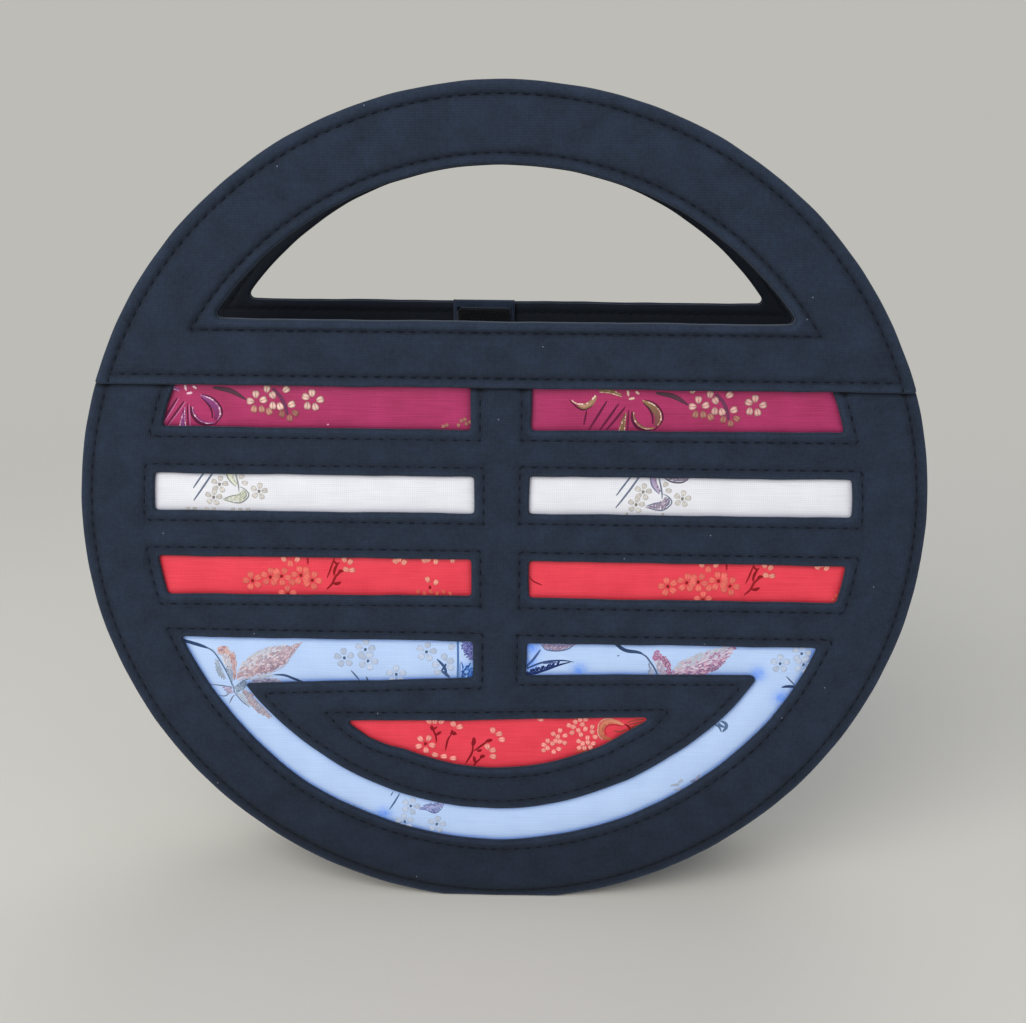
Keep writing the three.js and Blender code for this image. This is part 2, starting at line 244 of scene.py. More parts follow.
satinLooks = {  # ground colour, its shaded tone, rib pitch across and along in millimetres, tone beside a cotton edge
    "fuchsia": {"colour": "#b6356c", "dark": "#8c204a", "ribs": (0.5, 0.5), "relief": 0.05, "deep": "#5e1236"},
    "white": {"colour": "#eaebf0", "dark": "#d6d7df", "ribs": (0.6, 0.6), "relief": 0.05, "deep": "#8f90a4"},
    "red": {"colour": "#ee4557", "dark": "#d42f41", "ribs": (0.5, 0.5), "relief": 0.05, "deep": "#8e141f"},
    "blue": {"colour": "#bfd7fa", "dark": "#abc4ec", "ribs": (0.6, 0.6), "relief": 0.06, "deep": "#5f7fb4"},
}
satinWeave = {
    "roughness": 0.48, "specular": 0.27, "sheen": 0.12, "cloud": 9.0, "streak": (14.0, 0.5), "streakShare": 0.5,
    "weaveShare": 0.3, "dye": "#3d86fa", "dyeGrain": 1.4,
}


def satinMaterial(name, look, dyed):
    # warp-faced satin: smooth and softly shining, with fine weft ribs and a slight cloudiness
    s = satinWeave
    material, tree, shader = newMaterial(name, s["roughness"], s["specular"], s["sheen"])
    coords = addNode(tree, "ShaderNodeUVMap", {"uv_map": "cloth"}).outputs["UV"]
    weave = weaveOf(tree, coords, *look["ribs"])
    cloud = addNode(tree, "ShaderNodeTexNoise", None,
                    {"Vector": coords, "Scale": 1 / (s["cloud"] * mm), "Detail": 4.0}).outputs["Fac"]
    scale = tuple(1 / (size * mm) for size in s["streak"]) + (1,)
    stretch = addNode(tree, "ShaderNodeMapping", None, {"Vector": coords, "Scale": scale}).outputs["Vector"]
    streak = addNode(tree, "ShaderNodeTexNoise", None, {"Vector": stretch, "Scale": 1.0, "Detail": 2.0}).outputs["Fac"]
    tone = addNode(tree, "ShaderNodeMix", {"data_type": "FLOAT"}, {0: s["streakShare"], 2: cloud, 3: streak}).outputs[0]
    tone = addNode(tree, "ShaderNodeMix", {"data_type": "FLOAT"}, {0: s["weaveShare"], 2: tone, 3: weave}).outputs[0]
    spread = addNode(tree, "ShaderNodeMapRange", None, {"Value": tone, "From Min": 0.3, "From Max": 0.7}).outputs[0]
    # the edge attribute is painted shade along the satin where the cotton's window edges stand over it
    edge = addNode(tree, "ShaderNodeAttribute", {"attribute_name": "edge"}).outputs["Fac"]
    layers = [(spread, look["colour"]), (edge, look["deep"])]
    if dyed:  # dye that has run in from the dark cotton
        dye = addNode(tree, "ShaderNodeAttribute", {"attribute_name": "dye"}).outputs["Fac"]
        ragged = addNode(tree, "ShaderNodeTexNoise", None,
                         {"Vector": coords, "Scale": 1 / (s["dyeGrain"] * mm), "Detail": 3.0}).outputs["Fac"]
        ragged = addNode(tree, "ShaderNodeMapRange", None, {
            "Value": ragged, "From Min": 0.3, "From Max": 0.7, "To Min": 0.55, "To Max": 1.1}).outputs[0]
        stain = addNode(tree, "ShaderNodeMath", {"operation": "MULTIPLY", "use_clamp": True}, {0: dye, 1: ragged})
        layers.append((stain.outputs[0], s["dye"]))
    ground = linear(look["dark"])
    for share, colour in layers:
        layer = addNode(tree, "ShaderNodeMix", {"data_type": "RGBA"}, {0: share, 6: ground, 7: linear(colour)})
        ground = layer.outputs[2]
    dressShader(tree, shader, ground, weave, look["relief"], 0.0002)
    return material


def threadMaterial(name, roughness, specular, tint=None, ribPitch=0.35):
    # twisted thread: its own colour, darker between the floats, with fine ribs
    material, tree, shader = newMaterial(name, roughness, specular)
    coords = addNode(tree, "ShaderNodeTexCoord").outputs["Object"]
    ribs = addNode(tree, "ShaderNodeTexWave", {"bands_direction": "DIAGONAL"},
                   {"Vector": coords, "Scale": bandScale / (ribPitch * mm), "Distortion": 1.0}).outputs["Fac"]
    if tint is None:
        light, deep, shade = [addNode(tree, "ShaderNodeAttribute", {"attribute_name": key}).outputs[socket]
                              for key, socket in (("tint", "Color"), ("deep", "Color"), ("shade", "Fac"))]
    else:
        deep, shade = linear(tint), ribs
        light = tuple(min(1.0, c * 1.6) for c in deep[:3]) + (1.0,)
    colour = addNode(tree, "ShaderNodeMix", {"data_type": "RGBA"}, {0: shade, 6: deep, 7: light}).outputs[2]
    dressShader(tree, shader, colour, ribs, 0.3, 0.0001)
    return material


def cardMaterial():
    # grey-brown bookbinder's board: matt, with pressed-in fibres
    material, tree, shader = newMaterial("grey-brown card", 0.92, 0.2)
    coords = addNode(tree, "ShaderNodeTexCoord").outputs["Object"]
    fibre = addNode(tree, "ShaderNodeTexNoise", None, {
        "Vector": coords, "Scale": 1 / (1.5 * mm), "Detail": 6.0, "Distortion": 1.5}).outputs["Fac"]
    colour = addNode(tree, "ShaderNodeMix", {"data_type": "RGBA"},
                     {0: fibre, 6: linear("#9a8b70"), 7: linear("#c2b497")}).outputs[2]
    dressShader(tree, shader, colour, fibre, 0.3, 0.0002)
    return material


blackCotton = cottonMaterial("blue-black plain-woven cotton", cottonLook)
# painted shade: a darker copy of the cotton for the facings, which are seen in shade inside the hand hole
shadedInsideCotton = cottonMaterial("black cotton, darkened_as_painted_shade", dict(
    cottonLook, colour="#141a24", dark="#0a0e15", paintedLightTone="#1b2230", lint="#3a4250"))
blackLining = cottonMaterial("black lining cloth", dict(
    cottonLook, colour="#20252e", dark="#191d25", paintedLightTone="#2b313c", threadPitch=0.6, roughness=0.7))
tapeGround = cottonMaterial("black woven tape", dict(
    cottonLook, colour="#121418", dark="#0b0c0f", paintedLightTone="#16181c", lint="#3a3d42", threadPitch=0.9, roughness=0.95))
satins = {key: satinMaterial(f"{key} brocade satin", look, key == "blue") for key, look in satinLooks.items()}
sewingThread = threadMaterial("black sewing thread", 0.9, 0.1, "#12171f")
tapeThread = threadMaterial("black nylon monofilament", 0.55, 0.35, "#07080a")
figureThread = threadMaterial("brocade weft thread", 0.6, 0.14)
greyCard = cardMaterial()
print("materials are made")

# Outlines of the bag's cloth, as runs of (across, up) points in millimetres


def arcRun(radius, start, end, step=0.5):
    count = max(2, int(abs(end - start) * radius / step) + 1)
    angles = np.linspace(start, end, count)
    return np.column_stack([radius * np.cos(angles), radius * np.sin(angles)])


def angleAt(height, radius):
    return math.asin(height / radius)


windows = {  # low and high edge, each at the post and at the outer end, then the post's side and the end's radius
    "fuchsiaLeft": ((28.5, 28.6), (44.8, 44.8), 9.8, 107.6), "fuchsiaRight": ((28.7, 29.1), (44.8, 44.8), 8.8, 107.6),
    "whiteLeft": ((2.2, 2.1), (14.0, 14.0), 8.6, 107.6), "whiteRight": ((2.4, 2.4), (14.4, 14.5), 8.4, 107.8),
    "redLeft": ((-24.6, -25.2), (-12.5, -12.5), 9.5, 107.9), "redRight": ((-25.0, -25.2), (-12.8, -13.0), 8.6, 107.9),
}


def rowWindow(name, grow):
    (lowPost, lowEnd), (highPost, highEnd), post, radius = windows[name]
    radius, post = radius + grow, post - grow
    end = arcRun(radius, angleAt(lowEnd - grow, radius), angleAt(highEnd + grow, radius))
    run = np.vstack([[post, lowPost - grow], end, [post, highPost + grow]])
    return run * (-1 if name.endswith("Left") else 1, 1)


def bandRun(low, high, radius):
    a, b = angleAt(low, radius), angleAt(high, radius)
    return np.vstack([arcRun(radius, a, b), arcRun(radius, math.pi - b, math.pi - a)])


bowl = {  # the blue window: edges at the post and at the far end, and the arc's radius by angle in degrees
    "leftTop": (-39.6, -39.4), "rightTop": (-40.0, -40.1), "leftLow": (-52.1, -55.1), "rightLow": (-50.8, -51.1),
    "rightBend": (80.0, -49.7), "bendGrow": 1.4, "posts": (8.8, 8.2),
    "outer": [(-158, 108.7), (-140, 108.6), (-125, 109.3), (-110, 108.9), (-90, 109.0), (-70, 108.2), (-55, 107.8),
              (-40, 108.1), (-22, 107.8)],
    "inner": [(-146, 98.6), (-140, 98.5), (-125, 97.9), (-110, 97.9), (-90, 97.5), (-70, 96.2), (-55, 95.5),
              (-40, 96.0), (-32, 96.2)],
}
segment = {  # the red window inside it
    "left": (-48.8, -67.3), "right": (47.0, -64.5), "dip": (-12.0, -66.6), "tipGrow": 2.4,
    "arc": [(-126, 83.9), (-120, 84.5), (-115, 83.9), (-112, 83.2), (-108, 83.2), (-100, 83.6), (-90, 83.2),
            (-80, 82.7), (-70, 81.8), (-66, 81.8), (-60, 81.1), (-54, 81.1)],
}


def unevenArc(radii, start, end, grow):
    # an arc whose radius changes slowly with its angle
    angles = np.linspace(start, end, 400)
    radius = np.interp(np.degrees(angles), *zip(*radii)) + grow
    return np.column_stack([radius * np.cos(angles), radius * np.sin(angles)])


def bowlWindow(grow):
    leftPost, rightPost = [side - grow for side in bowl["posts"]]
    leftTop, leftTip = [v + grow for v in bowl["leftTop"]]
    rightTop, rightTip = [v + grow for v in bowl["rightTop"]]
    leftLow, leftCorner = [v - grow for v in bowl["leftLow"]]
    rightLow, rightCorner = [v - grow for v in bowl["rightLow"]]
    bendU, bendV = bowl["rightBend"]
    outerLeft, outerRight = [bowl["outer"][k][1] + grow for k in (0, -1)]
    innerLeft, innerRight = [bowl["inner"][k][1] - grow for k in (0, -1)]
    return np.vstack([
        [rightPost, rightTop], [rightPost, rightLow], [bendU - bowl["bendGrow"] * grow, bendV - grow],
        unevenArc(bowl["inner"], angleAt(rightCorner, innerRight), -math.pi - angleAt(leftCorner, innerLeft), -grow),
        [-leftPost, leftLow], [-leftPost, leftTop],
        unevenArc(bowl["outer"], -math.pi - angleAt(leftTip, outerLeft), angleAt(rightTip, outerRight), grow),
    ])


def segmentWindow(grow):
    (lu, lv), (ru, rv) = segment["left"], segment["right"]
    run = unevenArc(segment["arc"], math.atan2(lv, lu), math.atan2(rv, ru), grow)
    run[0] = (lu - segment["tipGrow"] * grow, lv + grow)
    run[-1] = (ru + segment["tipGrow"] * grow, rv + grow)
    return np.vstack([run, [segment["dip"][0], segment["dip"][1] + grow]])


def chordArea(radius, low):
    return arcRun(radius, angleAt(low, radius), math.pi - angleAt(low, radius))


def handHole(grow):
    radius, corner = bag["holeRadius"] + grow, bag["holeCorner"] + grow
    cv = bag["holeFloor"] - grow + corner
    cu = math.sqrt((radius - corner) ** 2 - cv ** 2)
    tilt = math.atan2(cv, cu)
    return np.vstack([
        arcRun(corner, -math.pi / 2, tilt, 0.2) + (cu, cv),
        arcRun(radius, tilt, math.pi - tilt)[1:-1],
        arcRun(corner, math.pi - tilt, math.pi * 1.5, 0.2) + (-cu, cv),
    ])


def bodyOutline(inset):
    radius, tuck = bag["discRadius"] - inset, bag["tuckRadius"] - max(inset, 0)
    shoulder, foot = bag["yokeLine"] - 0.3 - inset, max(inset, 0.03) - bag["footDrop"]
    right = np.vstack([
        arcRun(radius, angleAt(foot, radius), angleAt(shoulder, radius)),
        arcRun(tuck, angleAt(shoulder, tuck), angleAt(bag["tuckLine"] - inset, tuck)),
    ])
    return np.vstack([right, (right * (-1, 1))[::-1]])


def shouldered(run):
    # the upper half of the disc leans a little to the right
    share = np.clip((run[:, 1] - bag["leanFrom"]) / bag["leanReach"], 0, 1)
    return run + np.column_stack([bag["lean"] * share, np.zeros(len(run))])


def resampled(run, step, closed=True):
    ring = np.vstack([run, run[:1]]) if closed else run
    lengths = np.concatenate([[0], np.cumsum(np.linalg.norm(np.diff(ring, axis=0), axis=1))])
    count = max(3, int(round(lengths[-1] / step)))
    at = np.linspace(0, lengths[-1], count + 1)[:count if closed else count + 1]
    return np.column_stack([np.interp(at, lengths, ring[:, k]) for k in range(ring.shape[1])])


def softened(run, reach, step=0.25):
    # rounds a closed run's corners with a running average
    dense = resampled(run, step)
    half = int(3 * reach / step)
    weights = np.exp(-0.5 * (np.arange(-half, half + 1) * step / reach) ** 2)
    out = sum(w * np.roll(dense, k, axis=0) for k, w in zip(range(-half, half + 1), weights))
    return out / weights.sum()


def leftNormals(run, closed=True):
    if closed:
        tangent = np.roll(run, -1, axis=0) - np.roll(run, 1, axis=0)
    else:
        tangent = np.gradient(run, axis=0)
    tangent /= np.maximum(np.linalg.norm(tangent, axis=1), 1e-9)[:, None]
    return np.column_stack([-tangent[:, 1], tangent[:, 0]])


def facing(run, hole):
    # counter-clockwise, or clockwise for a hole, so that the cloth is on the left
    u, v = run.T
    area = np.sum(u * np.roll(v, -1) - v * np.roll(u, -1))
    return run[::-1] if (area > 0) == hole else run


def handCut(run, size, seed):
    # the small unevenness of cloth that was cut and turned by hand
    random = np.random.default_rng(seed)
    length = np.linalg.norm(np.diff(run, axis=0), axis=1).sum()
    at = np.arange(len(run)) / len(run) * 2 * math.pi
    shift = 0
    for wave, scale in ((60, 0.6), (34, 0.5), (19, 0.35), (11, 0.2)):
        turns = max(1, round(length / wave))
        shift = shift + size * scale * np.sin(turns * at + random.uniform(0, 6.28))
    return run + leftNormals(run) * shift[:, None]


def searchTree(runs, closed=True, step=0.15):
    # a search tree over dense runs that knows each point's left normal, run number and length along the run
    dense = [resampled(run, step, closed) for run in runs]
    kd = kdtree.KDTree(sum(map(len, dense)))
    points = np.vstack(dense)
    for i, (u, v) in enumerate(points):
        kd.insert((u, v, 0), i)
    kd.balance()
    return {
        "kd": kd, "points": points, "normals": np.vstack([leftNormals(run, closed) for run in dense]),
        "ends": np.vstack([np.roll(run, -1, axis=0) for run in dense]),
        "run": np.concatenate([np.full(len(run), k) for k, run in enumerate(dense)]),
        "along": np.concatenate([np.arange(len(run)) * step for run in dense]),
    }


def nearest(tree, points):
    hits = [tree["kd"].find((u, v, 0)) for u, v in points]
    return np.array([hit[1] for hit in hits]), np.array([hit[2] for hit in hits])


def within(points, starts, ends):
    # which points lie inside the edges, counted row by row
    inside = np.zeros(len(points), dtype=bool)
    row = np.floor(points[:, 1]).astype(int)
    lowest, highest = np.minimum(starts[:, 1], ends[:, 1]), np.maximum(starts[:, 1], ends[:, 1])
    for level in np.unique(row):
        chosen = np.where(row == level)[0]
        near = np.where((lowest <= level + 1) & (highest >= level))[0]
        (su, sv), (eu, ev) = starts[near].T, ends[near].T
        pu, pv = points[chosen, 0][:, None], points[chosen, 1][:, None]
        crosses = (sv > pv) != (ev > pv)
        at = su + (pv - sv) * (eu - su) / np.where(ev == sv, 1, ev - sv)
        inside[chosen] = np.sum(crosses & (pu < at), axis=1) % 2 == 1
    return inside


def ripple(points, wave, seed):
    return np.array([noise.noise((u / wave, v / wave, seed)) for u, v in points])


# Flat cloth: cut to an outline, meshed finely along its edges and stitch lines


def cutCloth(edges, loops, lines, rings, lineRings, grid, step=0.75):
    border = [resampled(loop, step) for loop in loops]
    extra = [loop + leftNormals(loop) * ring for loop in border for ring in rings]
    for line in lines:
        run = resampled(line, step, False)
        extra += [run + leftNormals(run, False) * ring for ring in lineRings]
    low, high = border[0].min(axis=0), border[0].max(axis=0)
    us = np.arange(low[0], high[0], grid)
    vs = np.arange(low[1], high[1], grid * 0.866)
    mesh = np.stack(np.meshgrid(us, vs), axis=-1)
    mesh[1::2, :, 0] += grid / 2
    extra = np.vstack(extra + [mesh.reshape(-1, 2)])
    _, gap = nearest(edges, extra)
    left = within(extra, edges["points"], edges["ends"])
    isGrid = np.arange(len(extra)) >= len(extra) - mesh.shape[0] * mesh.shape[1]
    extra = extra[left & (gap > np.where(isGrid, max(rings) + grid * 0.4, 0.28))]
    _, first = np.unique(np.floor(extra / 0.34).astype(int), axis=0, return_index=True)  # one point per small cell
    extra = extra[np.sort(first)]
    edgePairs, start = [], 0
    for loop in border:
        n = len(loop)
        edgePairs += [(start + i, start + (i + 1) % n) for i in range(n)]
        start += n
    points = np.vstack(border + [extra])
    found = geometry.delaunay_2d_cdt([Vector(p) for p in points], edgePairs, [], 0, 1e-6)
    points = np.array([tuple(p) for p in found[0]])
    triangles = np.array([f for f in found[2] if len(f) == 3])
    a, b, c = (points[triangles[:, k]] for k in range(3))
    area = (b - a)[:, 0] * (c - a)[:, 1] - (b - a)[:, 1] * (c - a)[:, 0]
    triangles[area < 0] = triangles[area < 0][:, ::-1]
    left = within((a + b + c) / 3, np.vstack(border), np.vstack([np.roll(loop, -1, axis=0) for loop in border]))
    triangles = triangles[left & (np.abs(area) > 1e-7)]
    used, triangles = np.unique(triangles, return_inverse=True)
    return points[used], triangles.reshape(-1, 3)


def openEdges(triangles):
    pairs = np.vstack([triangles[:, [0, 1]], triangles[:, [1, 2]], triangles[:, [2, 0]]])
    _, back, count = np.unique(np.sort(pairs, axis=1), axis=0, return_inverse=True, return_counts=True)
    return pairs[count[back.ravel()] == 1]


def turnedCloth(edges, flat, triangles, height, turns, wear):
    # the face, its turned edge through each (inset, depth) of turns, and a plain underside
    pairs = openEdges(triangles)
    rim, where = np.unique(pairs, return_inverse=True)
    pairs = where.reshape(-1, 2)
    index, _ = nearest(edges, flat[rim])
    inward = edges["normals"][index]
    points, cloth = [np.column_stack([flat, height])], [flat]
    paintedLightTone, faces, ring, total = [wear], [tuple(t) for t in triangles.tolist()], rim, len(flat)
    for inset, depth in turns:
        inset, level = (np.broadcast_to(value, len(edges["points"]))[index] for value in (inset, depth))
        ground = flat[rim] + inward * inset[:, None]
        points.append(np.column_stack([ground, level]))
        cloth.append(flat[rim] - inward * (height[rim] - level + inset)[:, None])  # the weave runs on over the edge
        paintedLightTone.append(np.zeros(len(rim)))
        lower = np.arange(total, total + len(rim))
        faces += [(ring[a], lower[a], lower[b], ring[b]) for a, b in pairs]
        ring, total = lower, total + len(rim)
    found = geometry.delaunay_2d_cdt([Vector(p) for p in ground], [tuple(p) for p in pairs.tolist()], [], 0, 1e-6)
    under = np.array([f for f in found[2] if len(f) == 3 and max(f) < len(rim)])
    a, b, c = (ground[under[:, k]] for k in range(3))
    area = (b - a)[:, 0] * (c - a)[:, 1] - (b - a)[:, 1] * (c - a)[:, 0]
    under[area > 0] = under[area > 0][:, ::-1]
    left = within((a + b + c) / 3, ground[pairs[:, 0]], ground[pairs[:, 1]])
    faces += [tuple(ring[list(f)]) for f in under[left].tolist()]
    return np.vstack(points), faces, np.concatenate(paintedLightTone), np.vstack(cloth)


def panelPlace(side, u, v, depth):
    flip = 1 if side == "front" else -1
    return np.column_stack([flip * u, -flip * depth, bag["footDrop"] + v]) * mm


def newObject(name, points, edges, faces, values):
    # each value is a number, a vector or a colour for every point
    mesh = bpy.data.meshes.new(name)
    mesh.from_pydata(points.tolist(), edges, faces)
    kinds = {1: ("FLOAT", "value"), 3: ("FLOAT_VECTOR", "vector"), 4: ("FLOAT_COLOR", "color")}
    for key, value in values.items():
        value = np.asarray(value, dtype=np.float32)
        kind, field = kinds[1 if value.ndim == 1 else value.shape[1]]
        mesh.attributes.new(key, kind, "POINT").data.foreach_set(field, value.ravel())
    made = bpy.data.objects.new(name, mesh)
    scene.collection.objects.link(made)
    return made


def addPiece(name, points, faces, material, cloth=None, **values):
    piece = newObject(name, points, [], [tuple(int(i) for i in f) for f in faces], values)
    mesh = piece.data
    mesh.polygons.foreach_set("use_smooth", [True] * len(mesh.polygons))
    if cloth is not None:
        corner = np.empty(len(mesh.loops), dtype=np.int32)
        mesh.loops.foreach_get("vertex_index", corner)
        layer = mesh.uv_layers.new(name="cloth")
        layer.data.foreach_set("uv", (cloth[corner] * mm).astype(np.float32).ravel())
    mesh.materials.append(material)
    mesh.validate()
    return piece


def rollDrop(gap, width, depth):
    t = np.clip(gap / np.maximum(width, 1e-6), 0, 1)
    return depth * (1 - np.sqrt(np.clip(1 - (1 - t) ** 2, 0, 1)))


def flatArea(points, triangles):
    a, b, c = (points[triangles[:, k], :2] for k in range(3))
    return float(np.abs((b - a)[:, 0] * (c - a)[:, 1] - (b - a)[:, 1] * (c - a)[:, 0]).sum() / 2 * mm * mm)


def cutArea(edges, flat, triangles, height, foot):
    # the face as it lies, and what is turned in round its edges
    a, b, c = (np.column_stack([flat, height])[triangles[:, k]] for k in range(3))
    face = np.linalg.norm(np.cross(b - a, c - a), axis=1).sum() / 2
    pairs = openEdges(triangles)
    index, _ = nearest(edges, flat[pairs].mean(axis=1))
    length = np.linalg.norm(flat[pairs[:, 0]] - flat[pairs[:, 1]], axis=1)
    turned = length * (height[pairs].mean(axis=1) - foot[index])
    return float((face + turned.sum()) * mm * mm)


# The lower panels' cotton covers, with fleece under them and the emblem's windows turned in

cover = {
    "face": 28.95, "puff": 0.55, "puffReach": 3.0, "edgeRoll": (0.8, 0.75), "rimRoll": (1.3, 1.2), "swell": 0.6,
    "groove": 0.28, "grooveReach": 0.5, "pucker": 0.07, "stitchPitch": 3.7, "stitchInset": 3.0, "rimStitch": 3.1,
    "rimStitchTop": 41.0, "wrinkle": 0.12, "windowFoot": 27.62, "rimFoot": 24.9, "rimTurn": 1.0, "windowTurn": 0.35,
    "underside": 27.6, "underYoke": 29.45, "underFrom": 39.5, "hemDip": 0.55, "hemFrom": 39.4, "hemReach": 1.8,
    "waviness": 0.11, "rimWaviness": 0.08,
}


def windowRuns(grow):
    return [rowWindow(name, grow) for name in windows] + [bowlWindow(grow), segmentWindow(grow)]


coverRim = softened(shouldered(bodyOutline(-cover["swell"])), 0.5)
coverLoops = [facing(handCut(coverRim, cover["rimWaviness"], 3), False)]
coverLoops += [facing(handCut(softened(run, 0.7), cover["waviness"], 20 + k), True)
               for k, run in enumerate(windowRuns(0))]
rimR = bag["discRadius"] - cover["rimStitch"]
rimTop = angleAt(cover["rimStitchTop"], rimR)
rimLine = shouldered(arcRun(rimR, math.pi - rimTop, 2 * math.pi + rimTop))
coverLines = [np.vstack([run, run[:1]]) for run in windowRuns(cover["stitchInset"])] + [rimLine]
coverEdges = searchTree(coverLoops)
coverStitches = searchTree(coverLines, False)
isRim = coverEdges["run"] == 0
coverFlat, coverTriangles = cutCloth(
    coverEdges, coverLoops, coverLines, (0.3, 0.8, 1.6), (-0.7, -0.3, 0, 0.3, 0.7), 2.0)
print("cover cut:", len(coverFlat), "points,", len(coverTriangles), "triangles")


def coverHeight(points, seed):
    # how far out the cloth's face lies at each point, and the painted light there: a painted highlight on rolled edges
    # above 0, painted shade below 0
    c, up = cover, points[:, 1]
    index, gap = nearest(coverEdges, points)
    line, off = nearest(coverStitches, points)
    along = coverStitches["along"][line] / c["stitchPitch"] * 2 * math.pi
    roll = np.where(isRim[index][:, None], c["rimRoll"], c["edgeRoll"])
    height = c["face"] + c["puff"] * (1 - np.exp(-gap / c["puffReach"])) - rollDrop(gap, roll[:, 0], roll[:, 1])
    height -= c["groove"] * np.exp(-(off / c["grooveReach"]) ** 2) * (0.8 + 0.2 * np.cos(along))
    height += c["pucker"] * np.cos(along) * np.exp(-(off / 1.6) ** 2) * np.clip(off / 0.6, 0, 1)
    height += c["wrinkle"] * np.clip(gap / 2, 0, 1) * (ripple(points, 21, seed) + 0.5 * ripple(points, 7, seed + 5))
    under = np.clip((up - c["underFrom"]) / 2, 0, 1)
    height = np.where(height > c["underYoke"], height + (c["underYoke"] - height) * under, height)
    hem = np.clip((up - c["hemFrom"]) / c["hemReach"], 0, 1)
    height -= c["hemDip"] * hem * hem * (3 - 2 * hem) * np.clip(gap / 1.5, 0, 1)
    # painted highlight along the rolled edges, then painted shade in the stitched grooves, darkest along the rim's line
    wear = np.exp(-((gap - 0.7) / 0.5) ** 2) * 0.5
    wear -= np.where(coverStitches["run"][line] == len(coverLines) - 1, 0.6, 0.35) * np.exp(-(off / 0.8) ** 2)
    # painted shade: darker low down, and a painted shadow in a strip just under the yoke's hem
    wear -= 0.28 * np.clip((-60 - up) / 55, 0, 1) + 0.85 * np.clip((up - 40.2) / 0.9, 0, 1)
    return height, wear


coverSeeds, yokeSeeds = {"front": 1.7, "back": 9.3}, {"front": 4.1, "back": 14.6}
for side, seed in coverSeeds.items():
    height, wear = coverHeight(coverFlat, seed)
    foot = np.where(isRim, cover["rimFoot"], cover["windowFoot"])
    inner = np.where(isRim, cover["rimFoot"] + 0.1, cover["underside"])
    inset = np.where(isRim, cover["rimTurn"], cover["windowTurn"])
    turns = [(0.0, foot), (inset, inner), (0.6, cover["underside"])]
    points, faces, paintedLightTone, cloth = turnedCloth(coverEdges, coverFlat, coverTriangles, height, turns, wear)
    piece = addPiece(f"{side}_cover_cloth", panelPlace(side, *points.T), faces, blackCotton, cloth, wear=paintedLightTone)
    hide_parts(f"{side}_cover", f"{side}_interlining")
    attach(piece, f"{side}_panel")
print("covers are sewn")

# Yokes with the handle arch, and their facings on the inside

yoke = {
    "face": 30.15, "puff": 0.45, "puffReach": 3.0, "archRoll": (1.5, 1.5), "hemRoll": (0.8, 0.7), "hemLift": 0.3,
    "groove": 0.75, "grooveReach": 0.7, "pucker": 0.12, "stitchPitch": 3.7, "archStitch": 3.9, "holeStitch": 3.3,
    "barStitch": 3.1, "hemStitch": 3.0, "archEnd": 0.8, "wrinkle": 0.16, "archFoot": 26.4, "hemFoot": 29.62,
    # the last entry sets the painted shade in the stitched grooves of the arch, the hem and the hole
    "underside": 29.6, "hemHalf": 123.4, "hemRise": 0.9, "hemFade": 1.5, "paintedGrooveShade": (0.5, 0.4, 0.55),
}
yokeRaw = [chordArea(bag["yokeRadius"], bag["yokeLine"]), handHole(0)]
yokeLoops = [facing(handCut(softened(shouldered(run), 0.5), 0.1, 50 + k), k > 0) for k, run in enumerate(yokeRaw)]
yokeEdges = searchTree(yokeLoops)


def hemShare(points):
    # 1 along the yoke's straight lower hem and 0 elsewhere, with a short change at its ends
    low = np.clip((bag["yokeLine"] + yoke["hemRise"] - points[:, 1]) / yoke["hemRise"], 0, 1)
    return low * np.clip((yoke["hemHalf"] - np.abs(points[:, 0] - bag["lean"])) / yoke["hemFade"], 0, 1)


yokeHem = hemShare(yokeEdges["points"])
archR, hemV = bag["yokeRadius"] - yoke["archStitch"], bag["yokeLine"] + yoke["hemStitch"]
holeR, barV = bag["holeRadius"] + yoke["holeStitch"], bag["holeFloor"] - yoke["barStitch"]
hemU = math.sqrt(archR ** 2 - hemV ** 2)
barAngle, archAngle = angleAt(barV, holeR), angleAt(bag["yokeLine"] + yoke["archEnd"], archR)
holeRun = arcRun(holeR, barAngle, math.pi - barAngle)
yokeLines = [shouldered(line) for line in (
    arcRun(archR, archAngle, math.pi - archAngle), np.array([[-hemU, hemV], [hemU, hemV]]),
    np.vstack([holeRun, holeRun[:1]]))]
yokeStitches = searchTree(yokeLines, False)
yokeFlat, yokeTriangles = cutCloth(
    yokeEdges, yokeLoops, yokeLines, (0.3, 0.8, 1.6, 2.4), (-0.8, -0.4, 0, 0.4, 0.8), 2.0)
print("yoke cut:", len(yokeFlat), "points,", len(yokeTriangles), "triangles")


def yokeHeight(points, seed, depthScale=1.0):
    y = yoke
    index, gap = nearest(yokeEdges, points)
    line, off = nearest(yokeStitches, points)
    along = yokeStitches["along"][line] / y["stitchPitch"] * 2 * math.pi
    hem = yokeHem[index][:, None]
    roll = np.array(y["archRoll"]) * (1 - hem) + np.array(y["hemRoll"]) * hem
    height = y["puff"] * (1 - np.exp(-gap / y["puffReach"])) - rollDrop(gap, roll[:, 0], roll[:, 1] * depthScale)
    height -= y["groove"] * np.exp(-(off / y["grooveReach"]) ** 2) * (0.8 + 0.2 * np.cos(along))
    height += y["pucker"] * np.cos(along) * np.exp(-(off / 1.8) ** 2) * np.clip(off / 0.6, 0, 1)
    height += y["wrinkle"] * np.clip(gap / 2, 0, 1) * (ripple(points, 26, seed) + 0.5 * ripple(points, 8, seed + 5))
    height += y["hemLift"] * yokeHem[index] * np.exp(-gap / 2.5)
    # painted highlight along the rolled edges, less painted shade in the stitched grooves
    wear = np.exp(-((gap - 0.9) / 0.7) ** 2) * 0.6
    return height, wear - np.array(y["paintedGrooveShade"])[yokeStitches["run"][line]] * np.exp(-(off / 0.85) ** 2)


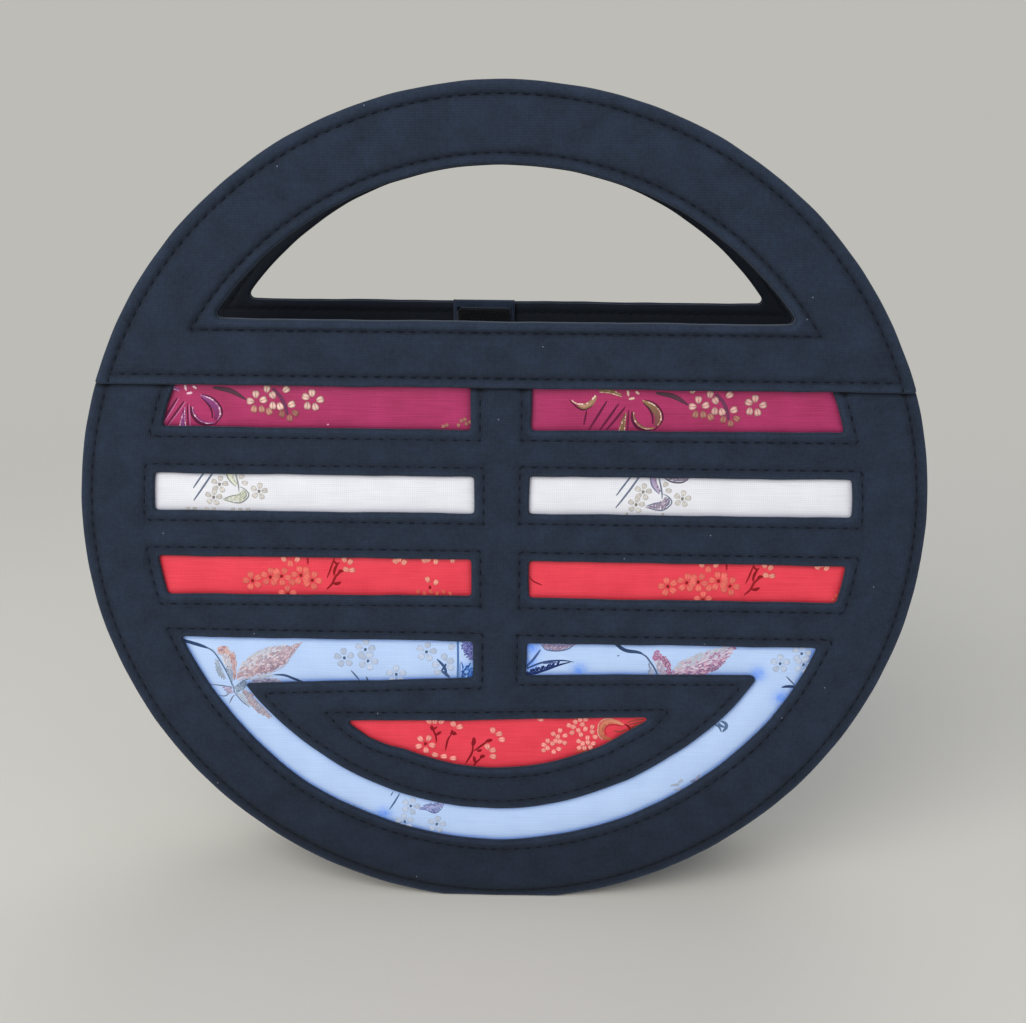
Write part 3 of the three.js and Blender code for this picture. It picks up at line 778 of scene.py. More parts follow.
facingLook = {
    "face": -24.0, "sink": 0.35, "flatter": 0.8, "underside": -24.75, "rollShare": 0.45, "archFoot": -26.25,
    "hemFoot": -24.9, "trim": 0.25, "seedStep": 30,
}


def facingLevel(points, seed):
    height, wear = yokeHeight(points, seed + facingLook["seedStep"], facingLook["rollShare"])
    return facingLook["face"] - facingLook["sink"] + height * facingLook["flatter"], wear


def yokeCloth(look, level, wear):
    foot = look["archFoot"] + (look["hemFoot"] - look["archFoot"]) * yokeHem
    turns = [(0.0, foot), (0.45, foot), (0.9, look["underside"])]
    area = cutArea(yokeEdges, yokeFlat, yokeTriangles, level, foot)
    return *turnedCloth(yokeEdges, yokeFlat, yokeTriangles, level, turns, wear), area


for side, seed in yokeSeeds.items():
    height, wear = yokeHeight(yokeFlat, seed)
    points, faces, paintedLightTone, cloth, area = yokeCloth(yoke, height + yoke["face"], wear)
    piece = addPiece(f"{side}_yoke_cloth", panelPlace(side, *points.T), faces, blackCotton, cloth, wear=paintedLightTone)
    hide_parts(f"{side}_yoke")
    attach(piece, f"{side}_panel")
    # the facing is built towards the inside, then turned over
    points, faces, paintedLightTone, cloth, area = yokeCloth(facingLook, *facingLevel(yokeFlat, seed))
    points[:, 2] *= -1
    points[:, :2] -= facingLook["trim"] * points[:, :2] / np.linalg.norm(points[:, :2], axis=1)[:, None]
    faces = [f[::-1] for f in faces]
    piece = addPiece(f"{side}_facing_cloth", panelPlace(side, *points.T), faces, shadedInsideCotton, cloth, wear=paintedLightTone)
    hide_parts(f"{side}_yoke_facing")
    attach(piece, f"{side}_panel")
print("yokes and facings are sewn")

# Brocade behind the windows: pressed flat under the cotton, lightly pillowed where it shows

inlay = {
    "level": 27.35, "crown": 0.6, "crownReach": 2.6, "grid": 1.0, "thickness": 0.35, "ripple": 0.06,
    "edgeShade": 0.7, "edgeReach": 0.65, "lensFoot": (8.6, 113.5), "deeper": 1.0038,
}


def lowSegment(high, radius):
    a = angleAt(high, radius)
    return arcRun(radius, -math.pi - a, a)


inlayOutlines = {  # outer run and hole, and which satin
    "fuchsia": ([bandRun(25.0, 48.8, 111.3)], "fuchsia"), "white": ([bandRun(-1.6, 18.2, 111.5)], "white"),
    "red": ([bandRun(-28.9, -8.7, 111.5)], "red"),
    "blue": ([lowSegment(-35.9, 112.6), lowSegment(-58.9, 92.5)], "blue"),
    "red_segment": ([lowSegment(-60.7, 87.0)], "red"),
}
dyeSpots = [  # place and reach
    (25, -49.2, 2.3), (81.8, -49.4, 2.3), (89.8, -57.4, 2.4), (-38.2, -100.8, 2.6), (9.8, -41.6, 3.0),
    (9.6, -47.6, 2.6), (-10.4, -49.6, 2.2), (98.8, -42.2, 1.6),
]


def inlayHeight(points):
    _, gap = nearest(coverEdges, points)
    shown = np.where(within(points, coverEdges["points"], coverEdges["ends"]), 0, gap)
    height = inlay["level"] + inlay["crown"] * (1 - np.exp(-shown / inlay["crownReach"]))
    return height + inlay["ripple"] * ripple(points, 9, 2.2) * np.clip(shown, 0, 1), shown


def dyeAt(points, shown):
    dye = np.zeros(len(points))
    for u, v, reach in dyeSpots:
        dye = np.maximum(dye, 0.8 * np.exp(-(np.hypot(points[:, 0] - u, points[:, 1] - v) / reach) ** 2))
    return np.maximum(dye, 0.45 * np.exp(-(shown / 0.7) ** 2))


inlays = {}
for key, (runs, satin) in inlayOutlines.items():
    loops = [facing(softened(run, 0.4), k > 0) for k, run in enumerate(runs)]
    edges = searchTree(loops)
    flat, triangles = cutCloth(edges, loops, [], (0.9,), (), inlay["grid"], 1.2)
    height, shown = inlayHeight(flat)
    width, length = (flat.max(axis=0) - flat.min(axis=0)) * mm
    # painted shade on the satin close to the cotton's window edges
    edge = inlay["edgeShade"] * np.exp(-shown / inlay["edgeReach"])
    for side in ("front", "back"):
        piece = addPiece(f"{side}_{key}_brocade", panelPlace(side, *flat.T, height), triangles.tolist(), satins[satin],
                         flat, dye=dyeAt(flat, shown), edge=edge)
        shell = piece.modifiers.new("cloth thickness", "SOLIDIFY")
        shell.thickness, shell.offset = inlay["thickness"] * mm, -1
        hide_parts(f"{side}_{key}_inlay")
        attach(piece, f"{side}_panel")
        inlays[side, key] = (piece, (float(width), float(length)), flatArea(flat, triangles), edges)
print("brocade is laid in")

# Woven figures on the brocade: petals and floats on points, twigs, leaves and ribbons as raised strokes

petalLooks = {  # petal, crease and heart colour, distance of a petal from the heart, petal length and width, relief
    "fuchsia": ("#f4cabf", "#5a342f", None, 2.1, (2.55, 2.5), 0.28),
    "fuchsiaMid": ("#cd9688", "#6c3c34", None, 2.1, (2.45, 2.3), 0.2),
    "fuchsiaRight": ("#e3b2ac", "#5a342f", None, 2.1, (2.55, 2.5), 0.28),
    "fuchsiaRightMid": ("#ae7a6e", "#6c3c34", None, 2.1, (2.45, 2.3), 0.2),
    "fuchsiaDim": ("#aa7268", "#663238", None, 2.1, (2.4, 2.2), 0.16),
    "white": ("#d8d4cf", "#918a83", "#868078", 1.75, (2.0, 1.8), 0.08),
    "whiteDim": ("#bdb8b6", "#8c8784", None, 1.9, (1.9, 1.7), 0.08),
    "red": ("#e97269", "#c2483f", "#861c16", 2.0, (2.45, 2.3), 0.14),
    "redPale": ("#f2a090", "#b05044", "#7c1420", 2.3, (2.5, 2.1), 0.2),
    "coral": ("#fea59d", "#bc4a40", "#8e1a20", 2.15, (2.3, 2.05), 0.2),
    "blue": ("#c1cee6", "#98a6c0", "#56657f", 2.1, (2.5, 2.3), 0.1),
}
petalTones = np.random.default_rng(7)


def darker(colour, share=0.6):
    return tuple(c * share for c in linear(colour)[:3]) + (1.0,)


def newFigure():
    return {"points": [], "strokes": []}


def addPetal(figure, u, v, turnDeg, look, size=1.0):
    colour, crease, _, _, (long, wide), relief = petalLooks[look]
    tone = petalTones.uniform(0.82, 1.06)
    tint = tuple(min(1, c * tone) for c in linear(colour)[:3]) + (1.0,)
    figure["points"].append((u, v, turnDeg, 0, long * size, wide * size, relief, tint, linear(crease)))


def addFloat(figure, u, v, turnDeg, long, wide, colour, relief=0.12, rim=0.6):
    figure["points"].append((u, v, turnDeg, 1, long, wide, relief, linear(colour), darker(colour, rim)))


def addBlossom(figure, u, v, look, turnDeg=90, size=1.0, skip=()):
    _, _, heart, reach, _, _ = petalLooks[look]
    for k in range(5):
        if k not in skip:
            a = math.radians(turnDeg + 72 * k)
            du, dv = reach * size * math.cos(a), reach * size * math.sin(a)
            addPetal(figure, u + du, v + dv, turnDeg + 72 * k, look, size)
    if heart:
        addFloat(figure, u, v, turnDeg, 1.1 * size, 1.0 * size, heart, 0.2)


def addStroke(figure, path, width, colour, ends=(0.35, 0.35), endColour=None, lift=0.1):
    figure["strokes"].append((np.array(path, dtype=float), width, ends, colour, endColour or colour, lift))


def curved(path, step=0.45):
    # a smooth run through the points
    if len(path) < 3:
        return resampled(path, step, False)
    p = np.vstack([2 * path[0] - path[1], path, 2 * path[-1] - path[-2]])
    t = np.linspace(0, 1, 9)[:-1, None]
    out = [0.5 * (2 * p[i] + (p[i + 1] - p[i - 1]) * t + (2 * p[i - 1] - 5 * p[i] + 4 * p[i + 1] - p[i + 2]) * t ** 2
                  + (3 * p[i] - p[i - 1] - 3 * p[i + 1] + p[i + 2]) * t ** 3) for i in range(1, len(p) - 2)]
    return resampled(np.vstack(out + [path[-1:]]), step, False)


def addDashes(figure, path, width, colours, step=0.9, seed=1):
    # floats end to end along a smooth run, in mixed tones
    random = np.random.default_rng(seed)
    run = curved(np.array(path, dtype=float), step)
    for here, there in zip(run[:-1], run[1:]):
        du, dv = there - here
        turn = math.degrees(math.atan2(dv, du)) + random.uniform(-12, 12)
        long, wide = step * random.uniform(0.9, 1.35), width * random.uniform(0.8, 1.25)
        addFloat(figure, *((here + there) / 2), turn, long, wide, colours[random.integers(len(colours))], 0.12, 0.7)


def addSpeckles(figure, outline, turnDeg, colours, seed=1, spread=0.9, cell=(0.95, 0.5)):
    # short floats in staggered rows inside an outline, with the colours running across the rows
    random = np.random.default_rng(seed)
    path = np.array(outline, dtype=float)
    a = math.radians(turnDeg)
    spin = np.array([[math.cos(a), -math.sin(a)], [math.sin(a), math.cos(a)]])
    run = curved(np.vstack([path, path[:1]]), 0.4) @ spin
    low, high = run.min(axis=0), run.max(axis=0)
    for row in np.arange(low[1], high[1], cell[1]):
        steps = np.arange(low[0] + random.uniform(0, cell[0]), high[0], cell[0])
        spots = np.column_stack([steps, np.full(len(steps), row)])
        for u, v in spots[within(spots, run, np.roll(run, -1, axis=0))] @ spin.T:
            pick = (row - low[1]) / (high[1] - low[1]) * len(colours) + random.normal(0, spread)
            turn = turnDeg + random.uniform(-15, 15)
            long, wide = cell[0] * random.uniform(0.95, 1.35), cell[1] * random.uniform(0.95, 1.3)
            addFloat(figure, u, v, turn, long, wide, colours[int(np.clip(pick, 0, len(colours) - 1))], 0.08, 0.75)


def addAll(add, figure, rows, move=list):
    # one call for each row, which begins with a path
    for path, *rest in rows:
        add(figure, move(path), *rest)


def addPetals(figure, look, rows, size=1.0, shift=0.0):
    for u, v, turnDeg in rows:
        addPetal(figure, u + shift, v, turnDeg, look, size)


def fuchsiaFigure():
    figure = newFigure()
    wine, maroon = "#5e1c38", "#561c3a"
    for shift, fill, fade, pale, tones, kind in (
            (0, "#86704c", "#77424a", "#eed2c6", ("#c99d8c", "#e2bcae", "#9c7c5c", "#b98c78"), "fuchsiaRight"),
            (-133.4, "#8a4a86", "#7a2a58", "#dca8bc", ("#cf90b4", "#ecc4d2", "#b87aa6", "#a8608e"), "fuchsia")):
        def moved(path):
            return [(u + shift, v) for u, v in path]
        for path, width in (
                (((37, 36.6), (34.2, 32.8), (31.2, 29)), 0.75), (((35, 37.6), (32.4, 33.6), (29.4, 29.2)), 0.75),
                (((25.4, 35.4), (25, 33.2), (24.6, 30.8)), 0.6), (((31.4, 38.3), (28.9, 34), (26, 29)), 0.75),
                (((38, 35.8), (37.9, 32.4), (37.8, 28.6)), 0.55)):
            addStroke(figure, moved(path), width, wine, (0.35, 0.5), "#6e1e44", 0.06)
            if shift:  # the left repeat's lines have a lilac edge
                edge = [(u + 0.6, v) for u, v in moved(path)]
                addStroke(figure, edge, 0.4, "#c873a0", (0.4, 0.4), "#b86090", 0.05)
        # the bow's loop, its return and its tail, a bar and a crescent, then a leaf and a stem; dashes edge them
        addAll(addStroke, figure, [
            (((42.6, 38.9), (45.8, 37.7), (48, 35.1), (48.3, 32.6), (46.8, 30.4), (45.7, 29.3)), 0.55, maroon,
             (0.3, 0.4), None, 0.05),
            (((42.2, 38.4), (44.9, 36.9), (46.7, 34.6), (46.9, 32.6), (46.2, 30.8)), 2.2, fill, (0.1, 0.35), fade,
             0.08),
            (((42.2, 38), (44, 36.2), (45.2, 34), (45.4, 31.4)), 0.6, maroon, (0.3, 0.6), None, 0.07),
            (((45.6, 29.7), (43, 29.3), (40.6, 30.4), (39.2, 32.6), (39, 35.2)), 0.9, maroon, (0.4, 0.4), None,
             0.05),
            (((46, 30.2), (43.4, 30), (41.2, 31.2), (39.9, 33.1), (39.5, 35.2)), 0.7, fill, (0.5, 0.3), fade, 0.08),
            (((37.2, 34.6), (36.5, 32), (36.1, 28.6)), 1.5, fade, (0.2, 1.0), fill, 0.06),
            (((29, 41.3), (32.5, 41.1), (35.9, 39.8)), 1.35, fill, (0.5, 0.25), None, 0.06),
            (((23, 36.9), (24.6, 36.6), (26.4, 37.4), (28.2, 39.7)), 1.7, tones[3], (0.25, 0.3), tones[2], 0.08),
            (((22.6, 36.6), (24.6, 36), (26.6, 36.9), (27.6, 38.2)), 0.7, fill, (0.3, 0.3), None, 0.1),
            (((20, 38.6), (22.2, 36.5), (24.4, 35.5), (27, 36.6)), 0.5, maroon, (0.3, 0.3), None, 0.05),
            (((46, 40.9), (51.4, 39.9), (56, 37.3)), 1.5, "#4c3a46", (0.3, 0.15), "#5c3446"),
            (((64, 40.9), (66.4, 38.2), (67.8, 35), (68.2, 32.8)), 1.1, "#6c3858", (0.8, 0.5)),
        ], moved)
        addAll(addDashes, figure, [
            (((42, 38.6), (45.3, 37.4), (47.5, 35), (47.8, 32.6), (46.9, 31)), 0.6, tones, 0.85, 3),
            (((45.6, 30), (43.2, 29.9), (41, 31.1), (39.7, 33.1), (39.6, 35)), 0.5, tones, 0.85, 4),
            (((37.2, 34.8), (37, 32), (37, 28.6)), 0.45, tones, 0.85, 5),
            (((36.6, 33), (35.9, 31), (35.2, 28.8)), 0.4, tones, 0.9, 6),
            (((29.2, 41), (32.4, 40.7), (35.7, 39.7)), 0.4, tones[:2], 1.0, 7),
            (((30.4, 41.6), (33.4, 41.3), (35.5, 40.4)), 0.4, tones, 1.0, 9),
            (((22.8, 37.3), (24.8, 37.2), (26.5, 38.2), (28, 39.8)), 0.6, (pale, tones[1], tones[2]), 0.8, 12),
            (((20.8, 38.3), (22.6, 37.2), (24.6, 37)), 0.5, tones[:2], 0.85, 8),
        ], moved)
        for u, v, a, long in ((37.7, 40.7, 100, 1.9), (38.8, 39.1, 10, 1.9), (40.5, 40.9, 140, 1.5)):
            addFloat(figure, u + shift, v, a, long, 0.9, tones[1], 0.22)
        addPetals(figure, kind, (
            (58.9, 39, 90), (57.2, 36.9, 180), (61.1, 37.3, 20), (62.3, 40.7, 80), (64, 38.8, 120), (68.1, 40.6, 40),
            (63.9, 35.6, 270), (66.1, 35.4, 290), (69.6, 36, 20), (75.9, 39.6, 90), (74, 38.4, 160), (78.3, 37.6, 15),
            (74.4, 35.7, 265), (76.8, 35.4, 285)), 1.0, shift)
        addPetals(figure, kind + "Mid", ((58.2, 34.5, 260), (60.5, 34.5, 280), (62.7, 33.8, 300)), 1.0, shift)
        addPetals(figure, "fuchsiaDim", ((66.6, 33.1, 260), (68.9, 31.9, 270), (70.6, 33.4, 330)), 1.0, shift)
    addPetal(figure, 57, 42, 80, "fuchsia")
    addPetals(figure, "fuchsiaDim", (
        (-17.9, 29.8, 160), (-16.9, 30.2, 40), (-13.3, 30.2, 90), (-12.4, 31.6, 130), (-11.4, 32, 80),
        (-10.9, 30.7, 250), (-9.9, 31.2, 20)), 0.62)
    addFloat(figure, -53, 29.9, 0, 0.8, 0.6, "#e09ab0")
    return figure


def whiteFigure():
    figure = newFigure()
    for shift, rise, leaf, edge, hatch in (
            (0, 0, ("#9a86b0", "#bfb2c8"), "#6c748e", ("#8f8298", "#a294aa", "#b9a8b8", "#857a94")),
            (-130.0, 0.6, ("#cfd2bc", "#dcdfd0"), "#8e948c", ("#c3c6ae", "#dcddd2", "#b4b8a4", "#cfd1c2"))):
        def moved(path):
            return [(u + shift, v + rise) for u, v in path]
        for u, v in moved(((43.2, 10.2), (41.2, 6.1), (55.3, 8.2))):
            addBlossom(figure, u, v, "white", 80)
        addPetals(figure, "white", ((50, 12.5 + rise, 60), (51, 10.7 + rise, 340)), 1.0, shift)
        addAll(addStroke, figure, [
            (((42.2, 15.2), (38.6, 10), (35, 5)), 0.6, "#6a748c", (0.9, 0.5)),
            (((39.6, 15.2), (37.2, 12), (35.1, 9)), 0.55, "#6a748c", (0.9, 0.5)),
            (((46, 15.2), (46.7, 12.4), (48.3, 9.8)), 1.9, leaf[0], (1.0, 0.1), leaf[1], 0.06),
            (((45.2, 15.2), (45.9, 12.2), (48.2, 9.6)), 0.5, edge),
            (((47.8, 15.2), (48.5, 12.4), (49, 10), (49.1, 8)), 0.5, edge),
            (((44.2, 5.4), (47, 4.6), (49.6, 4.5), (51.6, 6), (52.1, 7.3), (51, 8.8), (49.4, 9.6)), 0.45, edge),
            (((44.2, 5.6), (46.8, 6.6), (49, 7), (49.6, 7.8)), 0.4, edge),
            (((50.2, 5.4), (51.2, 6.5), (51.3, 7.6), (50.3, 8.7)), 0.35, edge),
        ], moved)
        addDashes(figure, moved(((46.6, 14.6), (47.2, 12.4), (48.4, 10.4))), 0.6, hatch, 0.7, 2)
        outline = moved(((44.5, 5.5), (47, 4.8), (49.4, 4.9), (51, 6), (51.2, 7.4), (50.2, 8.8), (49.2, 7.6),
                         (46.8, 6.5)))
        addSpeckles(figure, outline, 62, hatch, 3, 1.6, (1.1, 0.5))
    addSpeckles(figure, [(50, 14.9), (51.4, 13.9), (53.4, 13.4), (55.4, 13.7), (57, 14.9), (53.4, 15.6)], 4,
                ("#85798f", "#978a9e", "#8a8098"), 4, 0.9, (1.1, 0.5))
    addStroke(figure, [(49.6, 14.6), (51.4, 13.6), (53.6, 13.2), (55.6, 13.5), (57, 14.6)], 0.55, "#645e72", (0.5, 0.5))
    addPetals(figure, "whiteDim", [(u, 3.0, 85) for u in (-97, -94.9, -91.2, -89, -83, -80.8, -78.4)], 0.85)
    for u in (38.5, 49.5):
        addFloat(figure, u, 3.1, 80, 1.2, 0.8, "#a8a09a")
    return figure


def redFigure():
    figure = newFigure()
    twig, leaf, rust = "#961a22", "#8a141a", "#cf5a4c"
    for stretch, shift in ((1.0, 0.0), (1.029, 132.06)):  # the second repeat is pulled a little wider
        def moved(path):
            return [(u * stretch + shift, v, *turn) for u, v, *turn in path]
        for u, v, a in moved(((-77.8, -20.1, 105), (-72.2, -18.8, 85), (-68.7, -18.5, 60), (-62.6, -18.1, 100),
                              (-59.1, -19.7, 68))):
            addBlossom(figure, u, v, "red", a)
        addBlossom(figure, *moved([(-67, -24.4)])[0], "red", 90, 0.95)
        addPetals(figure, "red", moved((
            (-65.8, -14.4, 270), (-65.4, -20.4, 250), (-70.4, -17.2, 100), (-61, -16.4, 80))))
        addPetals(figure, "redPale", moved((
            (-67.8, -13, 120), (-63.6, -13, 60), (-48.9, -12.9, 110), (-47.1, -13.6, 60), (-46.6, -16.2, 10),
            (-48.4, -16, 160), (-33, -13.2, 130), (-31.8, -12.6, 90), (-30.3, -13.5, 60), (-24, -12.8, 120),
            (-22.8, -12.6, 60), (-20.4, -13.1, 80), (-15.2, -12.7, 90))), 0.9)
        addAll(addStroke, figure, [
            (((-54.6, -22.6), (-52.8, -20.6), (-51.8, -18.4), (-50.4, -17), (-49.2, -16.4)), 0.75, twig,
             (0.5, 0.7)),
            (((-52.6, -20.6), (-51.4, -20.7), (-50, -20.1)), 1.1, leaf, (0.2, 0.2)),
            (((-54.4, -18.8), (-53.6, -16.8), (-52.9, -14.8), (-52, -12.4)), 0.6, twig),
            (((-52.2, -18), (-52.1, -16.6), (-51.6, -15.2), (-50.8, -14)), 0.9, leaf, (0.3, 0.2)),
            (((-52.4, -13), (-51.4, -14.2), (-50.4, -13.8)), 0.7, leaf, (0.2, 0.2)),
            (((-51, -17.2), (-50.2, -16.5), (-49.2, -16.4)), 1.0, leaf, (0.2, 0.2)),
            (((-60.4, -12.4), (-60.3, -14.6)), 0.6, twig, (0.8, 0.4)),
        ], moved)
    addPetals(figure, "redPale", ((-23, -18.9, 110), (-20.4, -19.8, 60)), 0.85)
    addFloat(figure, -22.3, -21.5, 80, 1.2, 0.9, leaf)
    for k in range(6):
        addFloat(figure, -26 + 2.0 * k, -22.9 - 0.5 * (k % 2), 80 + 20 * (k % 3), 1.7, 1.3, rust, 0.08, 0.85)
    for u, v in ((104.5, -22.5), (103.6, -23.8)):
        addFloat(figure, u, v, 60, 1.4, 0.8, rust)
    addStroke(figure, [(8.7, -17.5), (10, -19), (12.7, -20.2)], 0.5, twig)
    return figure


def blueFigure():
    figure = newFigure()
    ink, navy, slate = "#445c80", "#23355c", "#6f7c98"
    dusty = ("#977d8a", "#b0959f", "#d8bcc2", "#a68c98", "#c8aab0", "#b79aa2", "#ddd0d6", "#bdb2bc", "#d2d2da",
             "#c6c8d2")
    berry = ("#8f6484", "#b8809e", "#d9b6ca", "#a06f92", "#c596b2", "#dfd0dc", "#b284a4", "#cdb4c6", "#c2bac8",
             "#c8cad6", "#bcc4d2")
    # wings and leaves: the butterfly on the left, the fan beside the post, the right bar, the arc below
    addAll(addSpeckles, figure, [
        (((-84.2, -53.4), (-78, -51.7), (-72.4, -50.2), (-68.8, -47.9), (-66.4, -44.6), (-62.4, -39.6),
          (-66, -41.4), (-71.6, -41.6), (-76, -43), (-80.8, -46.2), (-83.8, -50)), 33, dusty, 3, 1.5, (0.9, 0.48)),
        (((-89, -44.6), (-87, -44.4), (-86, -46), (-85.6, -49), (-86.8, -50.2), (-88, -47.4)), 75,
         ("#cfc9d2", "#dcd6da", "#c0bcc8"), 5),
        (((-87.6, -49), (-86.2, -48.6), (-85.3, -51), (-85.2, -53.6), (-86.4, -52.8)), 80,
         ("#94a6c0", "#a9b4c8", "#8898b2"), 31, 0.9, (0.9, 0.45)),
        (((-84.3, -53), (-83.8, -49), (-84.2, -45.6), (-85.6, -43.4), (-87.6, -42), (-89.4, -42.4), (-90, -44),
          (-88.8, -45), (-87, -45), (-86, -46.6), (-85.4, -49.4), (-85.2, -52.6)), 84,
         ("#cfa9a6", "#c3958f", "#dcb9b2", "#b48a8c", "#d6aea6"), 6, 1.6, (0.9, 0.5)),
        (((-90.9, -46.4), (-89.6, -47), (-88.4, -50), (-87.8, -53.4), (-89.6, -52.4), (-90.8, -49.6)), 110,
         ("#9fabbd", "#aebccd", "#98a5b8"), 8),
        (((-82.6, -57.2), (-80.6, -57.4), (-78, -60.6), (-73.4, -66.2), (-76.8, -65.3), (-80, -62.6),
          (-81.6, -59.8)), -48, ("#a79aa4", "#b9a0a4", "#a08e98", "#c0a8a8", "#9a9aa8"), 9, 1.3),
        (((-84.4, -57.6), (-82.8, -58), (-80.6, -61.4), (-80.4, -62.6), (-82.6, -60.8)), -52,
         ("#aab6c8", "#b8c0cc"), 32),
        (((-88.6, -55.8), (-86.2, -56.2), (-85.8, -58.2), (-87.8, -58)), 20, ("#ab9fb8", "#b9aec6", "#9d96b4"), 10),
        (((-79.6, -52.8), (-74, -52.6), (-70.6, -53.2), (-71, -54.4), (-79, -54.4)), 2,
         ("#7d7690", "#938a9e", "#a5a4b8"), 11, 0.9, (1.1, 0.5)),
        (((-81, -53.2), (-77, -52.2), (-72, -51.4), (-74, -52.7), (-79, -53.2)), 10, ("#a8b2c6", "#b6bece"), 33),
        (((-84.8, -55.2), (-81.6, -53.8), (-80.8, -55.2), (-82.6, -57.2), (-85, -57.2)), 60,
         ("#74869e", "#8798b0", "#9aa9be"), 12),
        (((-12.4, -39.4), (-9, -39.4), (-8.6, -46), (-10.6, -44.6), (-12.2, -42.2)), 55,
         ("#6466a4", "#56569a", "#7a7cba", "#5c60a6"), 13),
        (((-12.6, -52), (-12, -48.6), (-9, -46.8), (-8.8, -51.6)), 62, ("#23509e", "#4a7ccc", "#8cb8f0", "#1e4890"),
         14),
        (((8.2, -49.4), (11, -48), (15, -46.9), (20.4, -45.7), (17.4, -46.9), (13.4, -49), (11, -50.2),
          (8.2, -50.6)), 62, ("#21336c", "#2c4484", "#1d3068"), 15, 0.9, (1.0, 0.5)),
        (((12.8, -39.8), (23.4, -39.8), (21.4, -41.2), (18.4, -41.9), (14.6, -41.7)), 22,
         ("#94809a", "#a68fa4", "#7c7498", "#8a7a9a"), 16, 1.3),
        (((48.6, -45), (50.4, -44.4), (51.8, -46.4), (52.6, -50), (50.6, -49.8)), 70,
         ("#c4b4c6", "#b09cb4", "#d6cedc", "#a9a6bc"), 18, 1.5),
        (((54.2, -50.4), (54.1, -47.4), (53.6, -45), (52.2, -43.4), (51, -42.4), (50, -41.4), (48.8, -42),
          (48.2, -43.8), (49.4, -44.6), (50.6, -44.4), (51.6, -45.6), (52.4, -47.4), (53, -50.2)), 74,
         ("#c0809e", "#a8688c", "#cf9ab4", "#98607f", "#b4749a"), 19, 1.6, (0.9, 0.5)),
        (((54.6, -50.4), (60, -50.4), (66, -49.2), (70.2, -46), (73, -42), (74.2, -39.6), (69.6, -40.2),
          (64, -41.7), (58, -44.2), (54.8, -47.2)), 26, berry, 21, 1.5, (0.9, 0.48)),
        (((46.9, -45.6), (48, -47), (49.2, -49.8), (47, -49.8)), 100, ("#93a0bc", "#aab4cc", "#8a96b2"), 22),
        (((-26.2, -97.8), (-24.4, -96.2), (-22, -95.6), (-18.2, -95.8), (-19.2, -97.5), (-20.6, -98.9),
          (-22, -98.8), (-24, -97.8)), 18, ("#7478b4", "#9094c8", "#a4a6d2", "#7e86b8"), 23),
    ])
    addDashes(figure, [(-83.6, -53.6), (-78, -52), (-72.4, -50.5), (-68.4, -47.9), (-66.2, -44.6), (-63, -40.4)], 0.4,
              ("#b6aebd", "#c2b8c4"), 0.9, 4)
    addAll(addStroke, figure, [
        (((-94.4, -42.2), (-92, -43.2), (-90.4, -44.9), (-88.4, -48.4), (-86.5, -52.6), (-85.6, -55.4)), 0.5,
         "#5a7090", (1.0, 0.8)),
        (((-101.5, -40.3), (-98.4, -41), (-95.6, -41.8), (-93, -42.7)), 1.15, navy, (1.0, 0.45), "#33507c"),
        (((-72.4, -51.5), (-69, -51.6), (-66.4, -52.6), (-63, -54.2)), 0.85, "#4a6690", (0.2, 1.0), navy),
        (((-20.2, -45.3), (-18.6, -47), (-17.6, -48.6), (-17.2, -51.2)), 0.9, "#3c5480", (0.3, 0.5)),
        (((-17.2, -46.8), (-18, -48.2), (-18.8, -49.4)), 0.8, "#3c5480"),
        (((-18.8, -49.4), (-17.4, -50.4), (-16.2, -51.8)), 1.1, "#48608a"),
        (((-47.6, -49.6), (-46, -51.6), (-44.8, -53.4)), 0.5, ink),
        (((-42.8, -51.8), (-42.2, -53.4)), 0.55, ink),
        (((-13.6, -39), (-13.5, -46), (-13.7, -53)), 0.7, "#5078b4", (1, 1)),
        (((-12.8, -46), (-12.9, -49), (-13, -52.4)), 0.4, "#6f93d6"),
        (((-12.4, -46.2), (-11.9, -48.4), (-12.4, -51.8)), 0.5, "#3a62ac"),
        (((8.2, -47.6), (10.4, -45), (12.6, -41.7)), 0.8, "#3f62a4", (0.8, 0.4), "#4a5f90"),
        (((8.4, -48.2), (12, -46.4), (15.4, -45.5), (20, -45.2), (23.3, -45.7)), 0.65, "#3a5488", (0.9, 0.15),
         "#2b4272"),
        (((13.4, -46.4), (16, -46), (18.6, -46)), 0.5, "#4a5a90", (0.3, 0.3)),
        (((9, -50.4), (13.4, -48.9), (18.4, -46.8), (22.4, -45.6)), 0.8, "#1f3164", (1.0, 0.15)),
        (((12.8, -40), (14.4, -41.7), (18.2, -42), (21.4, -41.3), (23.4, -39.8)), 0.5, "#5f7098"),
        (((18.6, -41.6), (19.6, -40.6), (20.8, -39.8)), 0.4, "#6a668c"),
        (((36.2, -39.2), (38.2, -40.9), (40.2, -41.7), (43, -42), (44.8, -42.5)), 1.15, "#26395e", (1, 0.5),
         "#3c557e"),
        (((44.2, -42.3), (46, -43.4), (47.2, -45), (48.8, -47.4), (50, -50)), 0.55, "#566a8e", (0.9, 0.8),
         "#45597c"),
        (((90.6, -49.4), (92.4, -51.3), (93.8, -52.8)), 0.45, "#55688c"),
        (((89.3, -53.2), (91.3, -52.9), (94.2, -53.2)), 1.0, "#2f4470", (0.2, 0.5)),
        (((-32.6, -92.4), (-34.3, -95.4), (-36, -98.1)), 0.6, "#54719f"),
        (((-34.7, -91.7), (-35.5, -93.2)), 0.4, "#5d7099"),
        (((-26.2, -97.9), (-24, -97.9), (-22, -98.9), (-20.5, -98.9), (-19, -97.5), (-18.1, -95.8)), 0.35,
         "#6470a4"),
    ])
